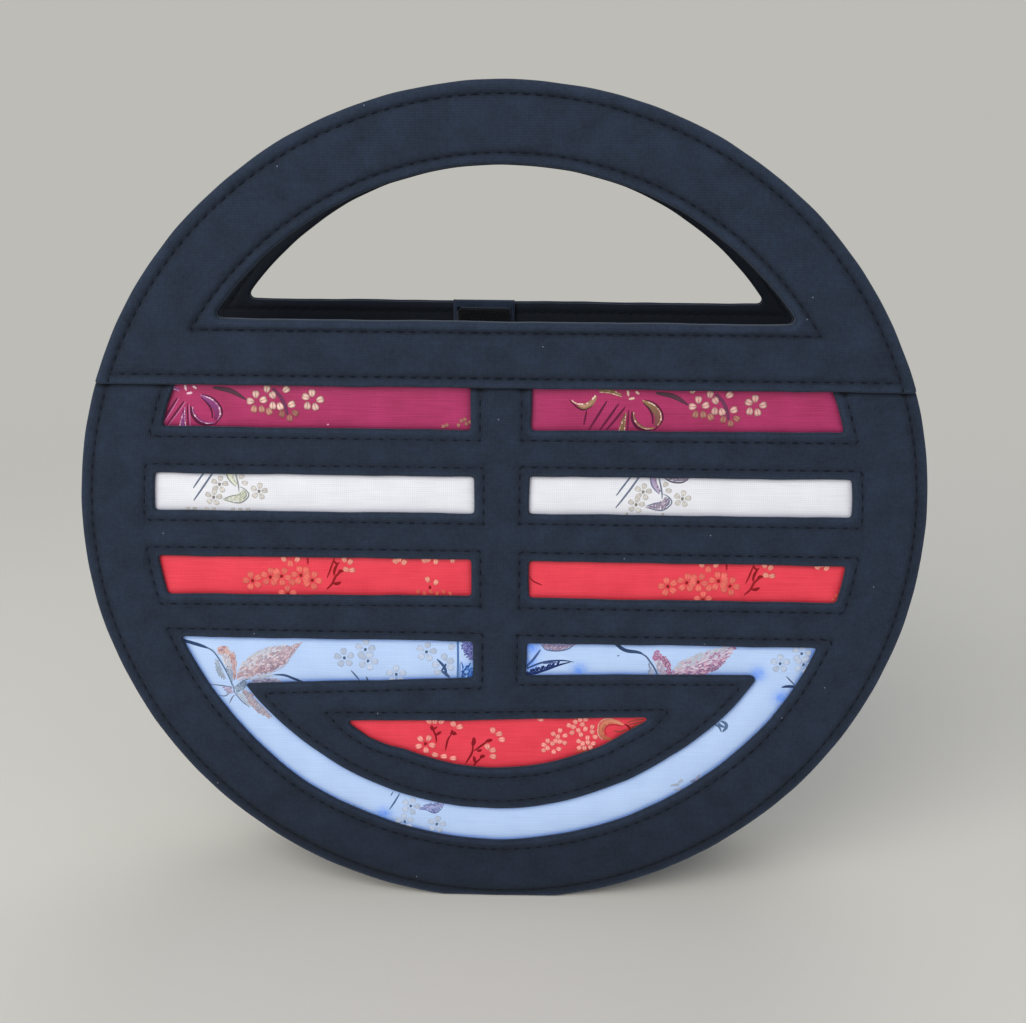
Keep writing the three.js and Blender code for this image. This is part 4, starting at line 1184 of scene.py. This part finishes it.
    for path in (((-85.5, -55.9), (-89.5, -55.4), (-93.3, -55.2)), ((-86.4, -57.5), (-88, -59), (-90.3, -59)),
                 ((-85, -58.6), (-85.8, -59.4), (-86.9, -61.5)), ((-85.4, -57.2), (-83, -60.5), (-80.4, -62.8)),
                 ((-85, -56), (-82.4, -54), (-80, -53)), ((-85, -53.6), (-84.6, -52), (-85.4, -51)),
                 ((-85.4, -55), (-85.2, -56.6), (-85, -58))):
        addStroke(figure, path, 0.4, slate)
    for path, width in ((((68.6, -66.2), (70.2, -67.2), (71, -68.8)), 0.7),
                        (((70.8, -65.2), (72.2, -65.9), (72.5, -67.2), (71.4, -68.8)), 1.1),
                        (((69.8, -66), (70.9, -66.8), (72, -67.2)), 0.9)):
        addStroke(figure, path, width, "#587298")
    for u, v, a in ((-49.6, -45.4, 95), (-42.9, -42.5, 85), (-42.1, -46.3, 70), (-33.2, -50.8, 90), (-23.5, -43, 80)):
        addBlossom(figure, u, v, "blue", a)
    addPetals(figure, "blue", ((-15.6, -41.4, 60), (-17.8, -44.6, 110), (-15.9, -45.9, 30), (-15.9, -48, 330),
                               (-20.6, -47.2, 180), (-20, -49.6, 200)))
    for u, v, a in ((88.4, -45.2, 90), (95, -41.8, 80), (95.8, -45.5, 70), (-29, -96.7, 70), (-31, -102.4, 95),
                    (-20.5, -103.1, 80)):
        addBlossom(figure, u, v, "blue", a, 0.95)
    for k in range(6):
        addFloat(figure, 10.2 + 1.6 * k, -48.7 + 0.5 * k, 60, 1.7, 0.75, "#1c2d5e", 0.12, 0.9)
    addFloat(figure, 37.2, -43.3, 10, 0.8, 0.6, "#7f93bc")
    for u, v, a, long, wide, colour in (
            (56.8, -87.7, 8, 3.0, 1.0, "#a4aabf"), (58.6, -86.4, 40, 2.0, 1.1, "#a8b2c8"),
            (57.6, -89.3, 4, 3.0, 0.8, "#a0a6be"), (64.2, -84.9, 70, 2.4, 1.2, "#989ab6"),
            (62.6, -86.2, 20, 1.8, 0.9, "#8486a8")):
        addFloat(figure, u, v, a, long, wide, colour, 0.06, 0.85)
    return figure


def segmentFigure():
    figure = newFigure()
    twig, rust = "#8a1420", "#a8483c"
    addBlossom(figure, -24.1, -74.5, "coral", 60, 1.05)
    addPetals(figure, "coral", (
        (-22.8, -66.8, 120), (-21, -66.8, 80), (-18.9, -66.8, 60), (-15, -67.6, 120), (-13, -68.5, 20),
        (-20.9, -78.4, 160), (-18.1, -78.9, 10), (-15.1, -79.5, 5), (-2.3, -69.5, 100), (-0.3, -70.7, 10),
        (0.6, -72.6, 0), (-4, -75.2, 110), (-2.3, -76.4, 20), (-2.2, -78.6, 350), (13, -65.5, 0)), 1.05)
    addPetals(figure, "coral", (
        (19.3, -69.2, 80), (17.2, -70.4, 130), (18.7, -71.2, 250), (20.9, -70.9, 20), (18, -72.8, 120),
        (16.9, -73.7, 300), (20.8, -73.4, 330), (19.3, -73, 60), (15.4, -72.8, 100), (14.2, -74.2, 170),
        (14.2, -76.1, 210), (15.4, -75.3, 290), (17.4, -76.6, 270), (19, -75.6, 340), (22.2, -67.4, 160),
        (23.6, -67.9, 40), (23.2, -69.8, 230), (24.2, -66.2, 120), (25.7, -65.5, 90), (27.4, -65.4, 30),
        (26.4, -67, 20), (25.2, -69, 110), (26, -70.4, 290), (27.4, -68.5, 60), (29.6, -67.8, 70), (29.6, -69.4, 320),
        (28.2, -71.6, 90), (30.6, -71.2, 330), (25.4, -72.8, 150), (26.7, -73.6, 270), (28.3, -73.2, 100),
        (30, -73.6, 10), (25.6, -75.1, 220), (27.3, -75.2, 270), (29.1, -74.9, 310)), 0.86)
    for k in range(3):
        addFloat(figure, 25 + 1.2 * k, -76.5 + 0.15 * k, 20, 1.4, 0.9, "#c8503e", 0.08)
    for path, width in (
            (((-22, -68), (-21.3, -70.1), (-20.6, -72), (-20.5, -74.1)), 0.65),
            (((-22.2, -68.2), (-21.8, -69.2), (-21.2, -70)), 1.2),
            (((-20.6, -71.6), (-19.8, -70.8), (-18.9, -70.2)), 1.0),
            (((-21.6, -69.6), (-20.8, -69), (-20.2, -68.6)), 0.7), (((-15.6, -71), (-16.8, -73), (-17.6, -76.8)), 0.65),
            (((-16, -71), (-15.2, -70.6), (-14, -71)), 1.3), (((-15.6, -69.6), (-15.2, -70.4), (-14.8, -71.4)), 1.0),
            (((-8.7, -74.4), (-9, -77.4), (-11.1, -81.4)), 0.7), (((-8.4, -72), (-8.4, -73.4), (-8.8, -75)), 1.4),
            (((-4, -73.2), (-6.4, -75.2), (-8.4, -76.8)), 0.7), (((-4.6, -73.4), (-3.4, -73), (-2.4, -72.8)), 1.2),
            (((-7.4, -76.8), (-6.6, -76.6), (-5.8, -76.4)), 1.0), (((-6, -79.2), (-7.6, -80.8), (-8.6, -82.4)), 0.7),
            (((-6.4, -79.2), (-5.6, -78.6), (-4.8, -78.6)), 1.3), (((-8.4, -78.6), (-8.2, -79.8), (-8.1, -81)), 1.0)):
        addStroke(figure, path, width, twig)
    # a ribbon's end
    addAll(addStroke, figure, [
        (((39.6, -66.9), (37, -65.9), (34.5, -66), (32.9, -67.4), (32.5, -69.5), (33.5, -71.3), (36, -72.3)), 1.8,
         "#dc8e74", (0.2, 0.4), "#b85a44", 0.08),
        (((39.6, -67.4), (36.4, -66.9), (34.4, -67.4), (33.7, -69), (34.4, -70.6)), 0.4, "#b02c34"),
        (((40, -66.6), (41.6, -68), (41.4, -69.8), (39.6, -71.4)), 0.8, "#7c121c"),
        (((42.4, -67.8), (43.2, -68.6), (43.8, -69.4)), 0.7, "#7c121c"),
    ])
    addAll(addDashes, figure, [
        (((37, -66.2), (34.6, -66.4), (33.2, -67.6), (32.9, -69.4), (33.8, -71)), 0.6,
         ("#c46e50", "#d48a64", "#b45e44"), 0.8, 2),
        (((36.4, -65.1), (34, -65), (32, -66.2), (31.4, -68.4), (31.7, -70.6), (33, -72.2)), 0.5,
         ("#e2a896", "#d89684"), 0.9, 3),
    ])
    for path in (((40.4, -66.2), (43, -65.4), (46, -64.9)), ((40.8, -67), (43, -66.4), (45.8, -65.8)),
                 ((41.6, -68.2), (43.2, -67.5), (45, -66.8)), ((36.4, -69), (38.4, -69.4), (40.6, -68.6))):
        addStroke(figure, path, 0.6, rust, (0.4, 0.6), "#8c4638")
    return figure


figures = {
    "fuchsia": fuchsiaFigure(), "white": whiteFigure(), "red": redFigure(), "blue": blueFigure(),
    "red_segment": segmentFigure(),
}


def petalShape(name, columns, rows, groove, blunt):
    # a small dome on a unit oval, narrower at its inner end, with a crease along its middle
    points, shade, faces = [], [], []
    for i in range(columns + 1):
        a = 0.97 * math.sin((i / columns - 0.5) * math.pi)
        half = math.sqrt(1 - abs(a) ** blunt) * (0.88 + 0.2 * a)
        depth = 1 - 0.5 * min(1, max(0, (a + 0.3) / 0.9))  # the crease fades towards the petal's outer end
        for j in range(rows + 1):
            b = 2 * j / rows - 1
            dome = (1 - b * b) ** 0.5 * (1 - a ** 4)
            crease = 1 - groove * math.exp(-(b / 0.2) ** 2) * depth
            notch = groove * 0.12 * max(0, a) * (1 - abs(b))
            points.append((0.5 * a - notch, 0.5 * b * half, dome * crease - 0.05))
            stripe = 1 - min(1, 1.5 * groove) * math.exp(-(b / 0.17) ** 2) * depth
            shade.append(min(1, 0.15 + 1.15 * dome ** 1.5 * stripe))
    for i in range(columns):
        for j in range(rows):
            k = i * (rows + 1) + j
            faces.append((k, k + rows + 1, k + rows + 2, k + 1))
    return addPiece(name, np.array(points), faces, figureThread, shade=shade)


def deeper(points):
    # the places are read on the cotton's face, so they move away from the lens to fall on the satin behind it
    foot = np.array(inlay["lensFoot"])
    return foot + (np.asarray(points, dtype=float) - foot) * inlay["deeper"]


def strokeMesh(name, figure, side, edges):
    points, faces, tints, shades = [], [], [], []
    for path, width, ends, colour, endColour, lift in figure["strokes"]:
        run = curved(deeper(path))
        _, gap = nearest(edges, run)
        run = run[within(run, edges["points"], edges["ends"]) & (gap > 0.2)]
        m = len(run)
        if m < 3:
            continue
        t = np.linspace(0, 1, m)
        end = np.where(t < 0.5, *ends)
        half = (width / 2 * (end + (1 - end) * np.sin(t * math.pi) ** 0.7))[:, None]
        normal, share = leftNormals(run, False), t[:, None]
        tint = np.array(linear(colour)) * (1 - share) + np.array(linear(endColour)) * share
        across = (-1, -0.5, 0, 0.5, 1) if width > 1.5 else (-1, 0, 1)
        first = sum(map(len, points))
        for c in across:
            spot = run + normal * half * c
            points.append(np.column_stack([spot, inlayHeight(spot)[0] + lift * (1 - c * c) + 0.02]))
            tints.append(tint)
            shades.append(np.full(m, 1.0 if abs(c) < 1 else 0.5))
        for k in range(len(across) - 1):
            for i in range(m - 1):
                a, b = first + k * m + i, first + (k + 1) * m + i
                faces.append((a, a + 1, b + 1, b))
    points, tints = np.vstack(points), np.vstack(tints)
    return addPiece(name, panelPlace(side, *points.T), faces, figureThread, tint=tints,
                    deep=tints * (0.55, 0.55, 0.55, 1.0), shade=np.concatenate(shades))


def newTree(name, sockets):
    tree = bpy.data.node_groups.new(name, "GeometryNodeTree")
    tree.interface.new_socket("Geometry", in_out="INPUT", socket_type="NodeSocketGeometry")
    tree.interface.new_socket("Geometry", in_out="OUTPUT", socket_type="NodeSocketGeometry")
    for label, kind in sockets:
        tree.interface.new_socket(label, in_out="INPUT", socket_type=kind)
    return tree, addNode(tree, "NodeGroupInput").outputs, addNode(tree, "NodeGroupOutput")


def finishTree(tree, given, out, instances, smooth):
    # real geometry with the given thread's material
    whole = addNode(tree, "GeometryNodeRealizeInstances", None, {"Geometry": instances}).outputs[0]
    if smooth:
        whole = addNode(tree, "GeometryNodeSetShadeSmooth", None, {"Geometry": whole}).outputs[0]
    painted = addNode(tree, "GeometryNodeSetMaterial", None, {"Geometry": whole, "Material": given["Thread"]})
    tree.links.new(painted.outputs[0], out.inputs[0])
    return tree


def grown(source, tree, name, **inputs):
    # runs the tree on the source, keeps the result as a plain mesh and removes the source
    modifier = source.modifiers.new(name, "NODES")
    modifier.node_group = tree
    named = {item.name: item.identifier for item in tree.interface.items_tree if item.in_out == "INPUT"}
    for label, value in inputs.items():
        modifier[named[label.replace("_", " ")]] = value
    source.update_tag()
    graph = bpy.context.evaluated_depsgraph_get()
    shape = source.evaluated_get(graph)
    mesh = bpy.data.meshes.new_from_object(shape, preserve_all_data_layers=True, depsgraph=graph)
    mesh.name = name
    piece = bpy.data.objects.new(name, mesh)
    scene.collection.objects.link(piece)
    source.modifiers.clear()
    bpy.data.objects.remove(source)
    return piece


def figureTree():
    tree, given, out = newTree("brocade figures", [
        ("Petal", "NodeSocketObject"), ("Float", "NodeSocketObject"), ("Strokes", "NodeSocketObject"),
        ("Thread", "NodeSocketMaterial")])
    along, outward, size = [
        addNode(tree, "GeometryNodeInputNamedAttribute", {"data_type": "FLOAT_VECTOR"}, {"Name": key}).outputs[0]
        for key in ("along", "outward", "size")]
    kind = addNode(tree, "GeometryNodeInputNamedAttribute", {"data_type": "FLOAT"}, {"Name": "kind"}).outputs[0]
    turned = addNode(tree, "FunctionNodeAxesToRotation", {"primary_axis": "X", "secondary_axis": "Z"},
                     {"Primary Axis": along, "Secondary Axis": outward}).outputs[0]
    isFloat = addNode(tree, "FunctionNodeCompare", {"data_type": "FLOAT", "operation": "GREATER_THAN"},
                      {0: kind, 1: 0.5}).outputs[0]
    isPetal = addNode(tree, "FunctionNodeBooleanMath", {"operation": "NOT"}, {0: isFloat}).outputs[0]
    joined = addNode(tree, "GeometryNodeJoinGeometry")
    for label, chosen in (("Petal", isPetal), ("Float", isFloat)):
        shape = addNode(tree, "GeometryNodeObjectInfo", None, {"Object": given[label]}).outputs["Geometry"]
        spread = addNode(tree, "GeometryNodeInstanceOnPoints", None, {
            "Points": given["Geometry"], "Selection": chosen, "Instance": shape, "Rotation": turned, "Scale": size})
        tree.links.new(spread.outputs[0], joined.inputs[0])
    strokes = addNode(tree, "GeometryNodeObjectInfo", None, {"Object": given["Strokes"]}).outputs["Geometry"]
    tree.links.new(strokes, joined.inputs[0])
    return finishTree(tree, given, out, joined.outputs[0], False)


petalObject = petalShape("petal shape", 5, 8, 0.6, 2.6)
floatObject = petalShape("float shape", 4, 4, 0.0, 4.0)
figuresTree = figureTree()
for (side, key), (piece, flat, area, edges) in inlays.items():
    figure = figures[key]
    rows = figure["points"]
    spots = deeper([row[:2] for row in rows])
    _, gap = nearest(edges, spots)
    left = within(spots, edges["points"], edges["ends"])
    kept = [row for row, ok in zip(rows, left & (gap > 0.6)) if ok]
    spots = deeper([row[:2] for row in kept])
    flip = 1 if side == "front" else -1
    turns = np.radians([row[2] for row in kept])
    points = panelPlace(side, *spots.T, inlayHeight(spots)[0] + 0.03)
    holder = newObject("figure points", points, [], [], {
        "along": np.column_stack([flip * np.cos(turns), np.zeros(len(kept)), np.sin(turns)]),
        "outward": np.tile((0.0, -flip, 0.0), (len(kept), 1)), "size": np.array([row[4:7] for row in kept]) * mm,
        "kind": [row[3] for row in kept], "tint": [row[7] for row in kept], "deep": [row[8] for row in kept]})
    strokes = strokeMesh("figure strokes", figure, side, edges)
    woven = grown(holder, figuresTree, f"{side}_{key}_figures", Petal=petalObject, Float=floatObject, Strokes=strokes,
                  Thread=figureThread)
    bpy.data.objects.remove(strokes)
    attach(woven, f"{side}_panel")
bpy.data.objects.remove(petalObject)
bpy.data.objects.remove(floatObject)
print("figures are woven")

# Topstitching in the grooves

stitch = {
    "pitch": 3.7, "length": 1.8, "radius": 0.24, "arch": 0.17, "seed": 11, "step": 0.6, "coverLift": 0.04,
    "yokeLift": 0.12,
}


def stitchTree():
    tree, given, out = newTree("topstitching", [
        ("Pitch", "NodeSocketFloat"), ("Length", "NodeSocketFloat"), ("Radius", "NodeSocketFloat"),
        ("Arch", "NodeSocketFloat"), ("Seed", "NodeSocketInt"), ("Thread", "NodeSocketMaterial")])
    half, back, sunk = [
        addNode(tree, "ShaderNodeMath", {"operation": "MULTIPLY"}, {0: given[label], 1: factor}).outputs[0]
        for label, factor in (("Length", 0.5), ("Length", -0.5), ("Arch", -1.0))]
    start, crown, end = [addNode(tree, "ShaderNodeCombineXYZ", None, place).outputs[0] for place in (
        {"X": back, "Z": sunk}, {"Z": given["Arch"]}, {"X": half, "Z": sunk})]
    bow = addNode(tree, "GeometryNodeCurveQuadraticBezier", None,
                  {"Resolution": 5, "Start": start, "Middle": crown, "End": end}).outputs[0]
    ring = addNode(tree, "GeometryNodeCurvePrimitiveCircle", {"mode": "RADIUS"},
                   {"Resolution": 6, "Radius": given["Radius"]}).outputs[0]
    thread = addNode(tree, "GeometryNodeCurveToMesh", None,
                     {"Curve": bow, "Profile Curve": ring, "Fill Caps": True}).outputs[0]
    path = addNode(tree, "GeometryNodeMeshToCurve", None, {"Mesh": given["Geometry"]}).outputs[0]
    spaced = addNode(tree, "GeometryNodeResampleCurve", {"mode": "LENGTH"}, {"Curve": path, "Length": given["Pitch"]})
    outward = addNode(tree, "GeometryNodeInputNamedAttribute", {"data_type": "FLOAT_VECTOR"},
                      {"Name": "outward"}).outputs[0]
    tangent = addNode(tree, "GeometryNodeInputTangent").outputs[0]
    turned = addNode(tree, "FunctionNodeAxesToRotation", {"primary_axis": "X", "secondary_axis": "Z"},
                     {"Primary Axis": tangent, "Secondary Axis": outward}).outputs[0]
    varied = addNode(tree, "FunctionNodeRandomValue", {"data_type": "FLOAT_VECTOR"},
                     {"Min": (0.75, 0.8, 0.8), "Max": (1.15, 1.2, 1.2), "Seed": given["Seed"]}).outputs[0]
    sewn = addNode(tree, "GeometryNodeInstanceOnPoints", None, {
        "Points": spaced.outputs[0], "Instance": thread, "Rotation": turned, "Scale": varied}).outputs[0]
    return finishTree(tree, given, out, sewn, True)


stitchesTree = stitchTree()


def sewSeams(name, runs, body):
    # stitches along runs of (points in metres, outward vector)
    points = np.vstack([run for run, _ in runs])
    outward = np.vstack([np.tile(way, (len(run), 1)) for run, way in runs])
    edges, start = [], 0
    for run, _ in runs:
        edges += [(start + i, start + i + 1) for i in range(len(run) - 1)]
        start += len(run)
    path = newObject("seam path", points, edges, [], {"outward": outward})
    piece = grown(path, stitchesTree, name, Pitch=stitch["pitch"] * mm, Length=stitch["length"] * mm,
                  Radius=stitch["radius"] * mm, Arch=stitch["arch"] * mm, Seed=stitch["seed"], Thread=sewingThread)
    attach(piece, body)


for side, flip in (("front", 1), ("back", -1)):
    runs = []
    for line in coverLines:
        run = resampled(line, stitch["step"], False)
        run = run[run[:, 1] < bag["yokeLine"] - 0.6]
        jumps = np.where(np.linalg.norm(np.diff(run, axis=0), axis=1) > 3)[0] + 1
        for part in np.split(run, jumps):
            if len(part) > 6:
                depth = coverHeight(part, coverSeeds[side])[0] + stitch["coverLift"]
                runs.append((panelPlace(side, *part.T, depth), (0, -flip, 0)))
    for line in yokeLines:
        run = resampled(line, stitch["step"], False)
        depth = yokeHeight(run, yokeSeeds[side])[0] + yoke["face"] + stitch["yokeLift"]
        runs.append((panelPlace(side, *run.T, depth), (0, -flip, 0)))
        depth = -facingLevel(run, yokeSeeds[side])[0] - stitch["yokeLift"]
        runs.append((panelPlace(side, *run.T, depth), (0, flip, 0)))
    sewSeams(f"{side}_topstitching", runs, f"{side}_panel")
print("topstitching is sewn")

# Panel linings

lining = {"level": 25.0, "inset": 0.6, "grid": 3.0, "wrinkle": 0.12, "thickness": 0.4}
liningLoop = [facing(softened(bodyOutline(lining["inset"]), 0.5), False)]
liningEdges = searchTree(liningLoop)
liningFlat, liningTriangles = cutCloth(liningEdges, liningLoop, [], (1.0,), (), lining["grid"], 2.0)
for side, seed in (("front", 21.0), ("back", 27.0)):
    calm = np.clip((40 - liningFlat[:, 1]) / 4, 0, 1)
    waves = 1 + ripple(liningFlat, 30, seed) + 0.6 * ripple(liningFlat, 10, seed + 4)
    points = panelPlace(side, *liningFlat.T, lining["level"] - lining["wrinkle"] * calm * waves)
    piece = addPiece(f"{side}_lining_cloth", points, liningTriangles[:, ::-1].tolist(), blackLining, liningFlat)
    shell = piece.modifiers.new("cloth thickness", "SOLIDIFY")
    shell.thickness, shell.offset = lining["thickness"] * mm, -1
    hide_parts(f"{side}_lining")
    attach(piece, f"{side}_panel")
print("linings are in")

# Gusset: a strip folded in along its middle, in two halves that follow the panels

gusset = {
    "radius": 126.0, "crease": 14.0, "halfWidth": 24.8, "near": 24.0, "tip": 128.0, "thickness": 0.9, "end": 41.2,
    "lip": 0.25, "steps": 190, "across": 16, "creaseRound": 0.05, "bow": 0.07, "wrinkle": 0.5, "liningDrop": 2.2,
    "liningThickness": 0.6,
}


def creaseAt(angle):
    height = np.sin(angle) * gusset["radius"]
    t = np.clip((height + gusset["radius"]) / (bag["yokeLine"] + gusset["radius"]), 0, 1)
    return gusset["crease"] * t * t * (3 - 2 * t)


def gussetSection(inside):
    # (share of the way from the crease to the seam, depth, rise above the strip) round a half's section
    g = gusset
    t, drop = np.linspace(0, 1, g["across"]), g["liningDrop"]
    if inside:
        top = [(s, g["halfWidth"] * s, -drop) for s in t]
        under = [(s, g["halfWidth"] * s, -drop - g["liningThickness"]) for s in t[::-1]]
        return np.array(top + under)
    near, far, rise, lip = g["near"], g["halfWidth"], g["tip"] - g["radius"], g["lip"]
    top = [(s, (near - 0.7) * s, 0.0) for s in t]
    flange = [(1, near - lip, 0.15), (1, near - 0.02, 0.6), (1, near, rise - lip), (1, near + lip, rise),
              (1, far - lip, rise), (1, far, rise - lip)]
    under = [(s, far * s, -g["thickness"]) for s in t[::-1]]
    return np.array(top + flange + under)


def gussetHalf(name, way, inside, material, seed):
    g = gusset
    section = gussetSection(inside)
    end = math.asin(g["end"] / g["tip"])
    angles = np.linspace(-math.pi - end, end, g["steps"])
    share, depth, rise = section.T
    eased = np.sqrt(share ** 2 + g["creaseRound"] ** 2 * (1 - share) ** 2)
    rows, uvs = [], []
    for angle in angles:
        fold = creaseAt(angle)
        radius = g["radius"] + rise - fold * (1 - eased) + g["bow"] * fold * np.sin(math.pi * share)
        crumple = np.array([noise.noise((angle * 9, s * 3.5, seed)) + 0.6 * noise.noise((angle * 26, s * 2.5, seed + 3))
                            for s in share])
        loose = g["wrinkle"] * (0.25 + fold / g["crease"])
        radius = radius + loose * crumple * np.sin(math.pi * np.clip(share, 0, 1)) ** 0.7
        x, z = radius * math.cos(angle), bag["footDrop"] + radius * math.sin(angle)
        rows.append(np.column_stack([x, way * depth, z]))
        uvs.append(np.column_stack([np.full(len(share), angle * g["radius"]), way * (depth + rise)]))
    n, count = len(section), len(angles)
    faces = [(i * n + j, i * n + (j + 1) % n, (i + 1) * n + (j + 1) % n, (i + 1) * n + j)
             for i in range(count - 1) for j in range(n)]
    faces += [tuple(range(n))[::-1], tuple(range((count - 1) * n, count * n))]
    if way < 0:
        faces = [face[::-1] for face in faces]
    paintedLightTone = np.tile(np.where(rise > 1.2, 0.5, 0.0), count)  # painted highlight along the seam's edge
    return addPiece(name, np.vstack(rows) * mm, faces, material, np.vstack(uvs), wear=paintedLightTone)


for side, way in (("front", -1), ("back", 1)):
    band = gussetHalf(f"gusset_{side}_half", way, False, blackCotton, 3.0 + way)
    inner = gussetHalf(f"gusset_lining_{side}_half", way, True, blackLining, 3.0 + way)
    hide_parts("gusset_band", "gusset_interlining")
    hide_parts("gusset_lining")
    for half in (band, inner):
        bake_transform(half)
print("gusset is folded")

# Closure: a flap on the back bar with loop tape, and hook tape on the front bar

closure = {
    "centre": -7.5, "width": 20.4, "low": 37.0, "high": 62.4, "near": 22.1, "far": 23.7, "edge": 1.1, "bulge": 0.12,
    "patchWidth": 18.0, "patchLow": 41.0, "patchHigh": 60.0, "tapeShare": 0.45, "tapeEdge": 0.5, "pileMargin": 0.9,
    "pileRadius": 0.62, "pileThread": 0.09, "seed": 5, "stitchInset": 2.0, "stitchTop": 1.5,
    # near and far side, pitch of the pile, sweep of a loop or hook, unevenness
    "loop": (20.35, 21.95, 0.95, math.pi, 0.3), "hook": (-23.85, -22.25, 1.25, 4.2, 0.05),
}


def pillow(name, low, high, near, far, edge, material, cells, bulge=0.0):
    # a flat pad with rounded edges: low and high are (across, up), near and far are depths along Y
    (u0, v0), (u1, v1) = low, high
    n = cells + 1
    grid = np.stack(np.meshgrid(np.linspace(u0, u1, n), np.linspace(v0, v1, n)), axis=-1).reshape(-1, 2)
    u, v = grid.T
    gap = np.minimum.reduce([u - u0, u1 - u, v - v0, v1 - v])
    swell = (far - near) / 2 * np.sqrt(np.clip(1 - (1 - np.clip(gap / edge, 0, 1)) ** 2, 0, 1))
    swell = swell + bulge * np.clip(gap / 3, 0, 1) * (1 + ripple(grid, 6, 8.0))
    points = np.vstack([np.column_stack([u, (near + far) / 2 + swell * way, v + bag["footDrop"]]) for way in (-1, 1)])
    faces = []
    for j in range(cells):
        for i in range(cells):
            k = j * n + i
            faces.append((k, k + 1, k + n + 1, k + n))
            k += n * n
            faces.append((k, k + n, k + n + 1, k + 1))
    # painted highlight along the pad's rounded edges
    paintedLightTone = np.tile(np.exp(-(gap / 0.8) ** 2) * 0.7, 2)
    piece = addPiece(name, points * mm, faces, material, np.vstack([grid, grid]), wear=paintedLightTone)
    piece.modifiers.new("edge weld", "WELD").merge_threshold = 1e-6
    return piece


def tapeTree():
    tree, given, out = newTree("tape pile", [
        ("Radius", "NodeSocketFloat"), ("Thread radius", "NodeSocketFloat"), ("Sweep", "NodeSocketFloat"),
        ("Seed", "NodeSocketInt"), ("Thread", "NodeSocketMaterial")])
    hoop = addNode(tree, "GeometryNodeCurveArc", {"mode": "RADIUS"},
                   {"Resolution": 7, "Radius": given["Radius"], "Sweep Angle": given["Sweep"]}).outputs[0]
    upright = addNode(tree, "GeometryNodeTransform", None,
                      {"Geometry": hoop, "Rotation": (math.pi / 2, 0.0, 0.0)}).outputs[0]
    ring = addNode(tree, "GeometryNodeCurvePrimitiveCircle", {"mode": "RADIUS"},
                   {"Resolution": 4, "Radius": given["Thread radius"]}).outputs[0]
    loop = addNode(tree, "GeometryNodeCurveToMesh", None, {"Curve": upright, "Profile Curve": ring}).outputs[0]
    along, outward = [
        addNode(tree, "GeometryNodeInputNamedAttribute", {"data_type": "FLOAT_VECTOR"}, {"Name": key}).outputs[0]
        for key in ("along", "outward")]
    turned = addNode(tree, "FunctionNodeAxesToRotation", {"primary_axis": "Z", "secondary_axis": "X"},
                     {"Primary Axis": outward, "Secondary Axis": along}).outputs[0]
    varied = addNode(tree, "FunctionNodeRandomValue", {"data_type": "FLOAT_VECTOR"},
                     {"Min": (0.75, 0.9, 0.7), "Max": (1.2, 1.1, 1.1), "Seed": given["Seed"]}).outputs[0]
    spread = addNode(tree, "GeometryNodeInstanceOnPoints", None, {
        "Points": given["Geometry"], "Instance": loop, "Rotation": turned, "Scale": varied}).outputs[0]
    return finishTree(tree, given, out, spread, True)


def tapePatch(name, node, body, way, tape):
    # a woven ground with a pile of loops or hooks on the side that way points to, along Y
    near, far, pitch, sweep, jitter = tape
    c = closure
    share = 1 - c["tapeShare"] if way < 0 else c["tapeShare"]
    ground = near + (far - near) * share
    sides = (ground, far) if way < 0 else (near, ground)
    (u0, v0), (u1, v1) = low, high = [(c["centre"] + s * c["patchWidth"] / 2, c[key])
                                      for s, key in ((-1, "patchLow"), (1, "patchHigh"))]
    base = pillow(name, low, high, *sides, c["tapeEdge"], tapeGround, 14)
    random = np.random.default_rng(c["seed"])
    margin = c["pileMargin"]
    us, vs = np.arange(u0 + margin, u1 - margin + 0.1, pitch), np.arange(v0 + margin, v1 - margin + 0.1, pitch)
    grid = np.stack(np.meshgrid(us, vs), axis=-1).reshape(-1, 2)
    grid = grid + random.uniform(-jitter, jitter, grid.shape)
    spots = np.column_stack([grid[:, 0], np.full(len(grid), ground), grid[:, 1] + bag["footDrop"]]) * mm
    spin = random.uniform(-jitter * 4, jitter * 4, len(grid))
    holder = newObject("tape points", spots, [], [], {
        "along": np.column_stack([np.cos(spin), np.zeros(len(grid)), np.sin(spin)]),
        "outward": np.tile((0.0, way, 0.0), (len(grid), 1))})
    pile = grown(holder, pileTree, f"{name}_pile", Radius=c["pileRadius"] * mm, Thread_radius=c["pileThread"] * mm,
                 Sweep=sweep, Seed=c["seed"], Thread=tapeThread)
    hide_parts(node)
    for piece in (base, pile):
        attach(piece, body)


pileTree = tapeTree()
left, right = [closure["centre"] + s * closure["width"] / 2 for s in (-1, 1)]
low, high, inset = closure["low"], closure["high"], closure["stitchInset"]
tab = pillow("closure_tab_cloth", (left, low), (right, high), closure["near"], closure["far"], closure["edge"],
             blackCotton, 30, closure["bulge"])
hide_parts("closure_tab")
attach(tab, "closure_tab")
tapePatch("loop_tape", "loop_patch", "closure_tab", -1, closure["loop"])
tapePatch("hook_tape", "hook_patch", "front_panel", 1, closure["hook"])
top, foot = high - closure["stitchTop"], low + inset
corners = [(left + inset, top), (left + inset, foot), (right - inset, foot), (right - inset, top)]
u, v = resampled(np.array(corners), stitch["step"], False).T
tabPoints = np.column_stack([u, np.full(len(u), closure["far"] + 0.1), v + bag["footDrop"]]) * mm
sewSeams("closure_tab_topstitching", [(tabPoints, (0, 1, 0))], "closure_tab")
print("closure is made")

# Hidden board and handle cores keep their solids
for side in ("front", "back"):
    for part in ("board", "handle_core"):
        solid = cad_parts[f"{side}_{part}"]
        solid.data.materials.clear()
        solid.data.materials.append(greyCard)

bpy.context.view_layer.update()
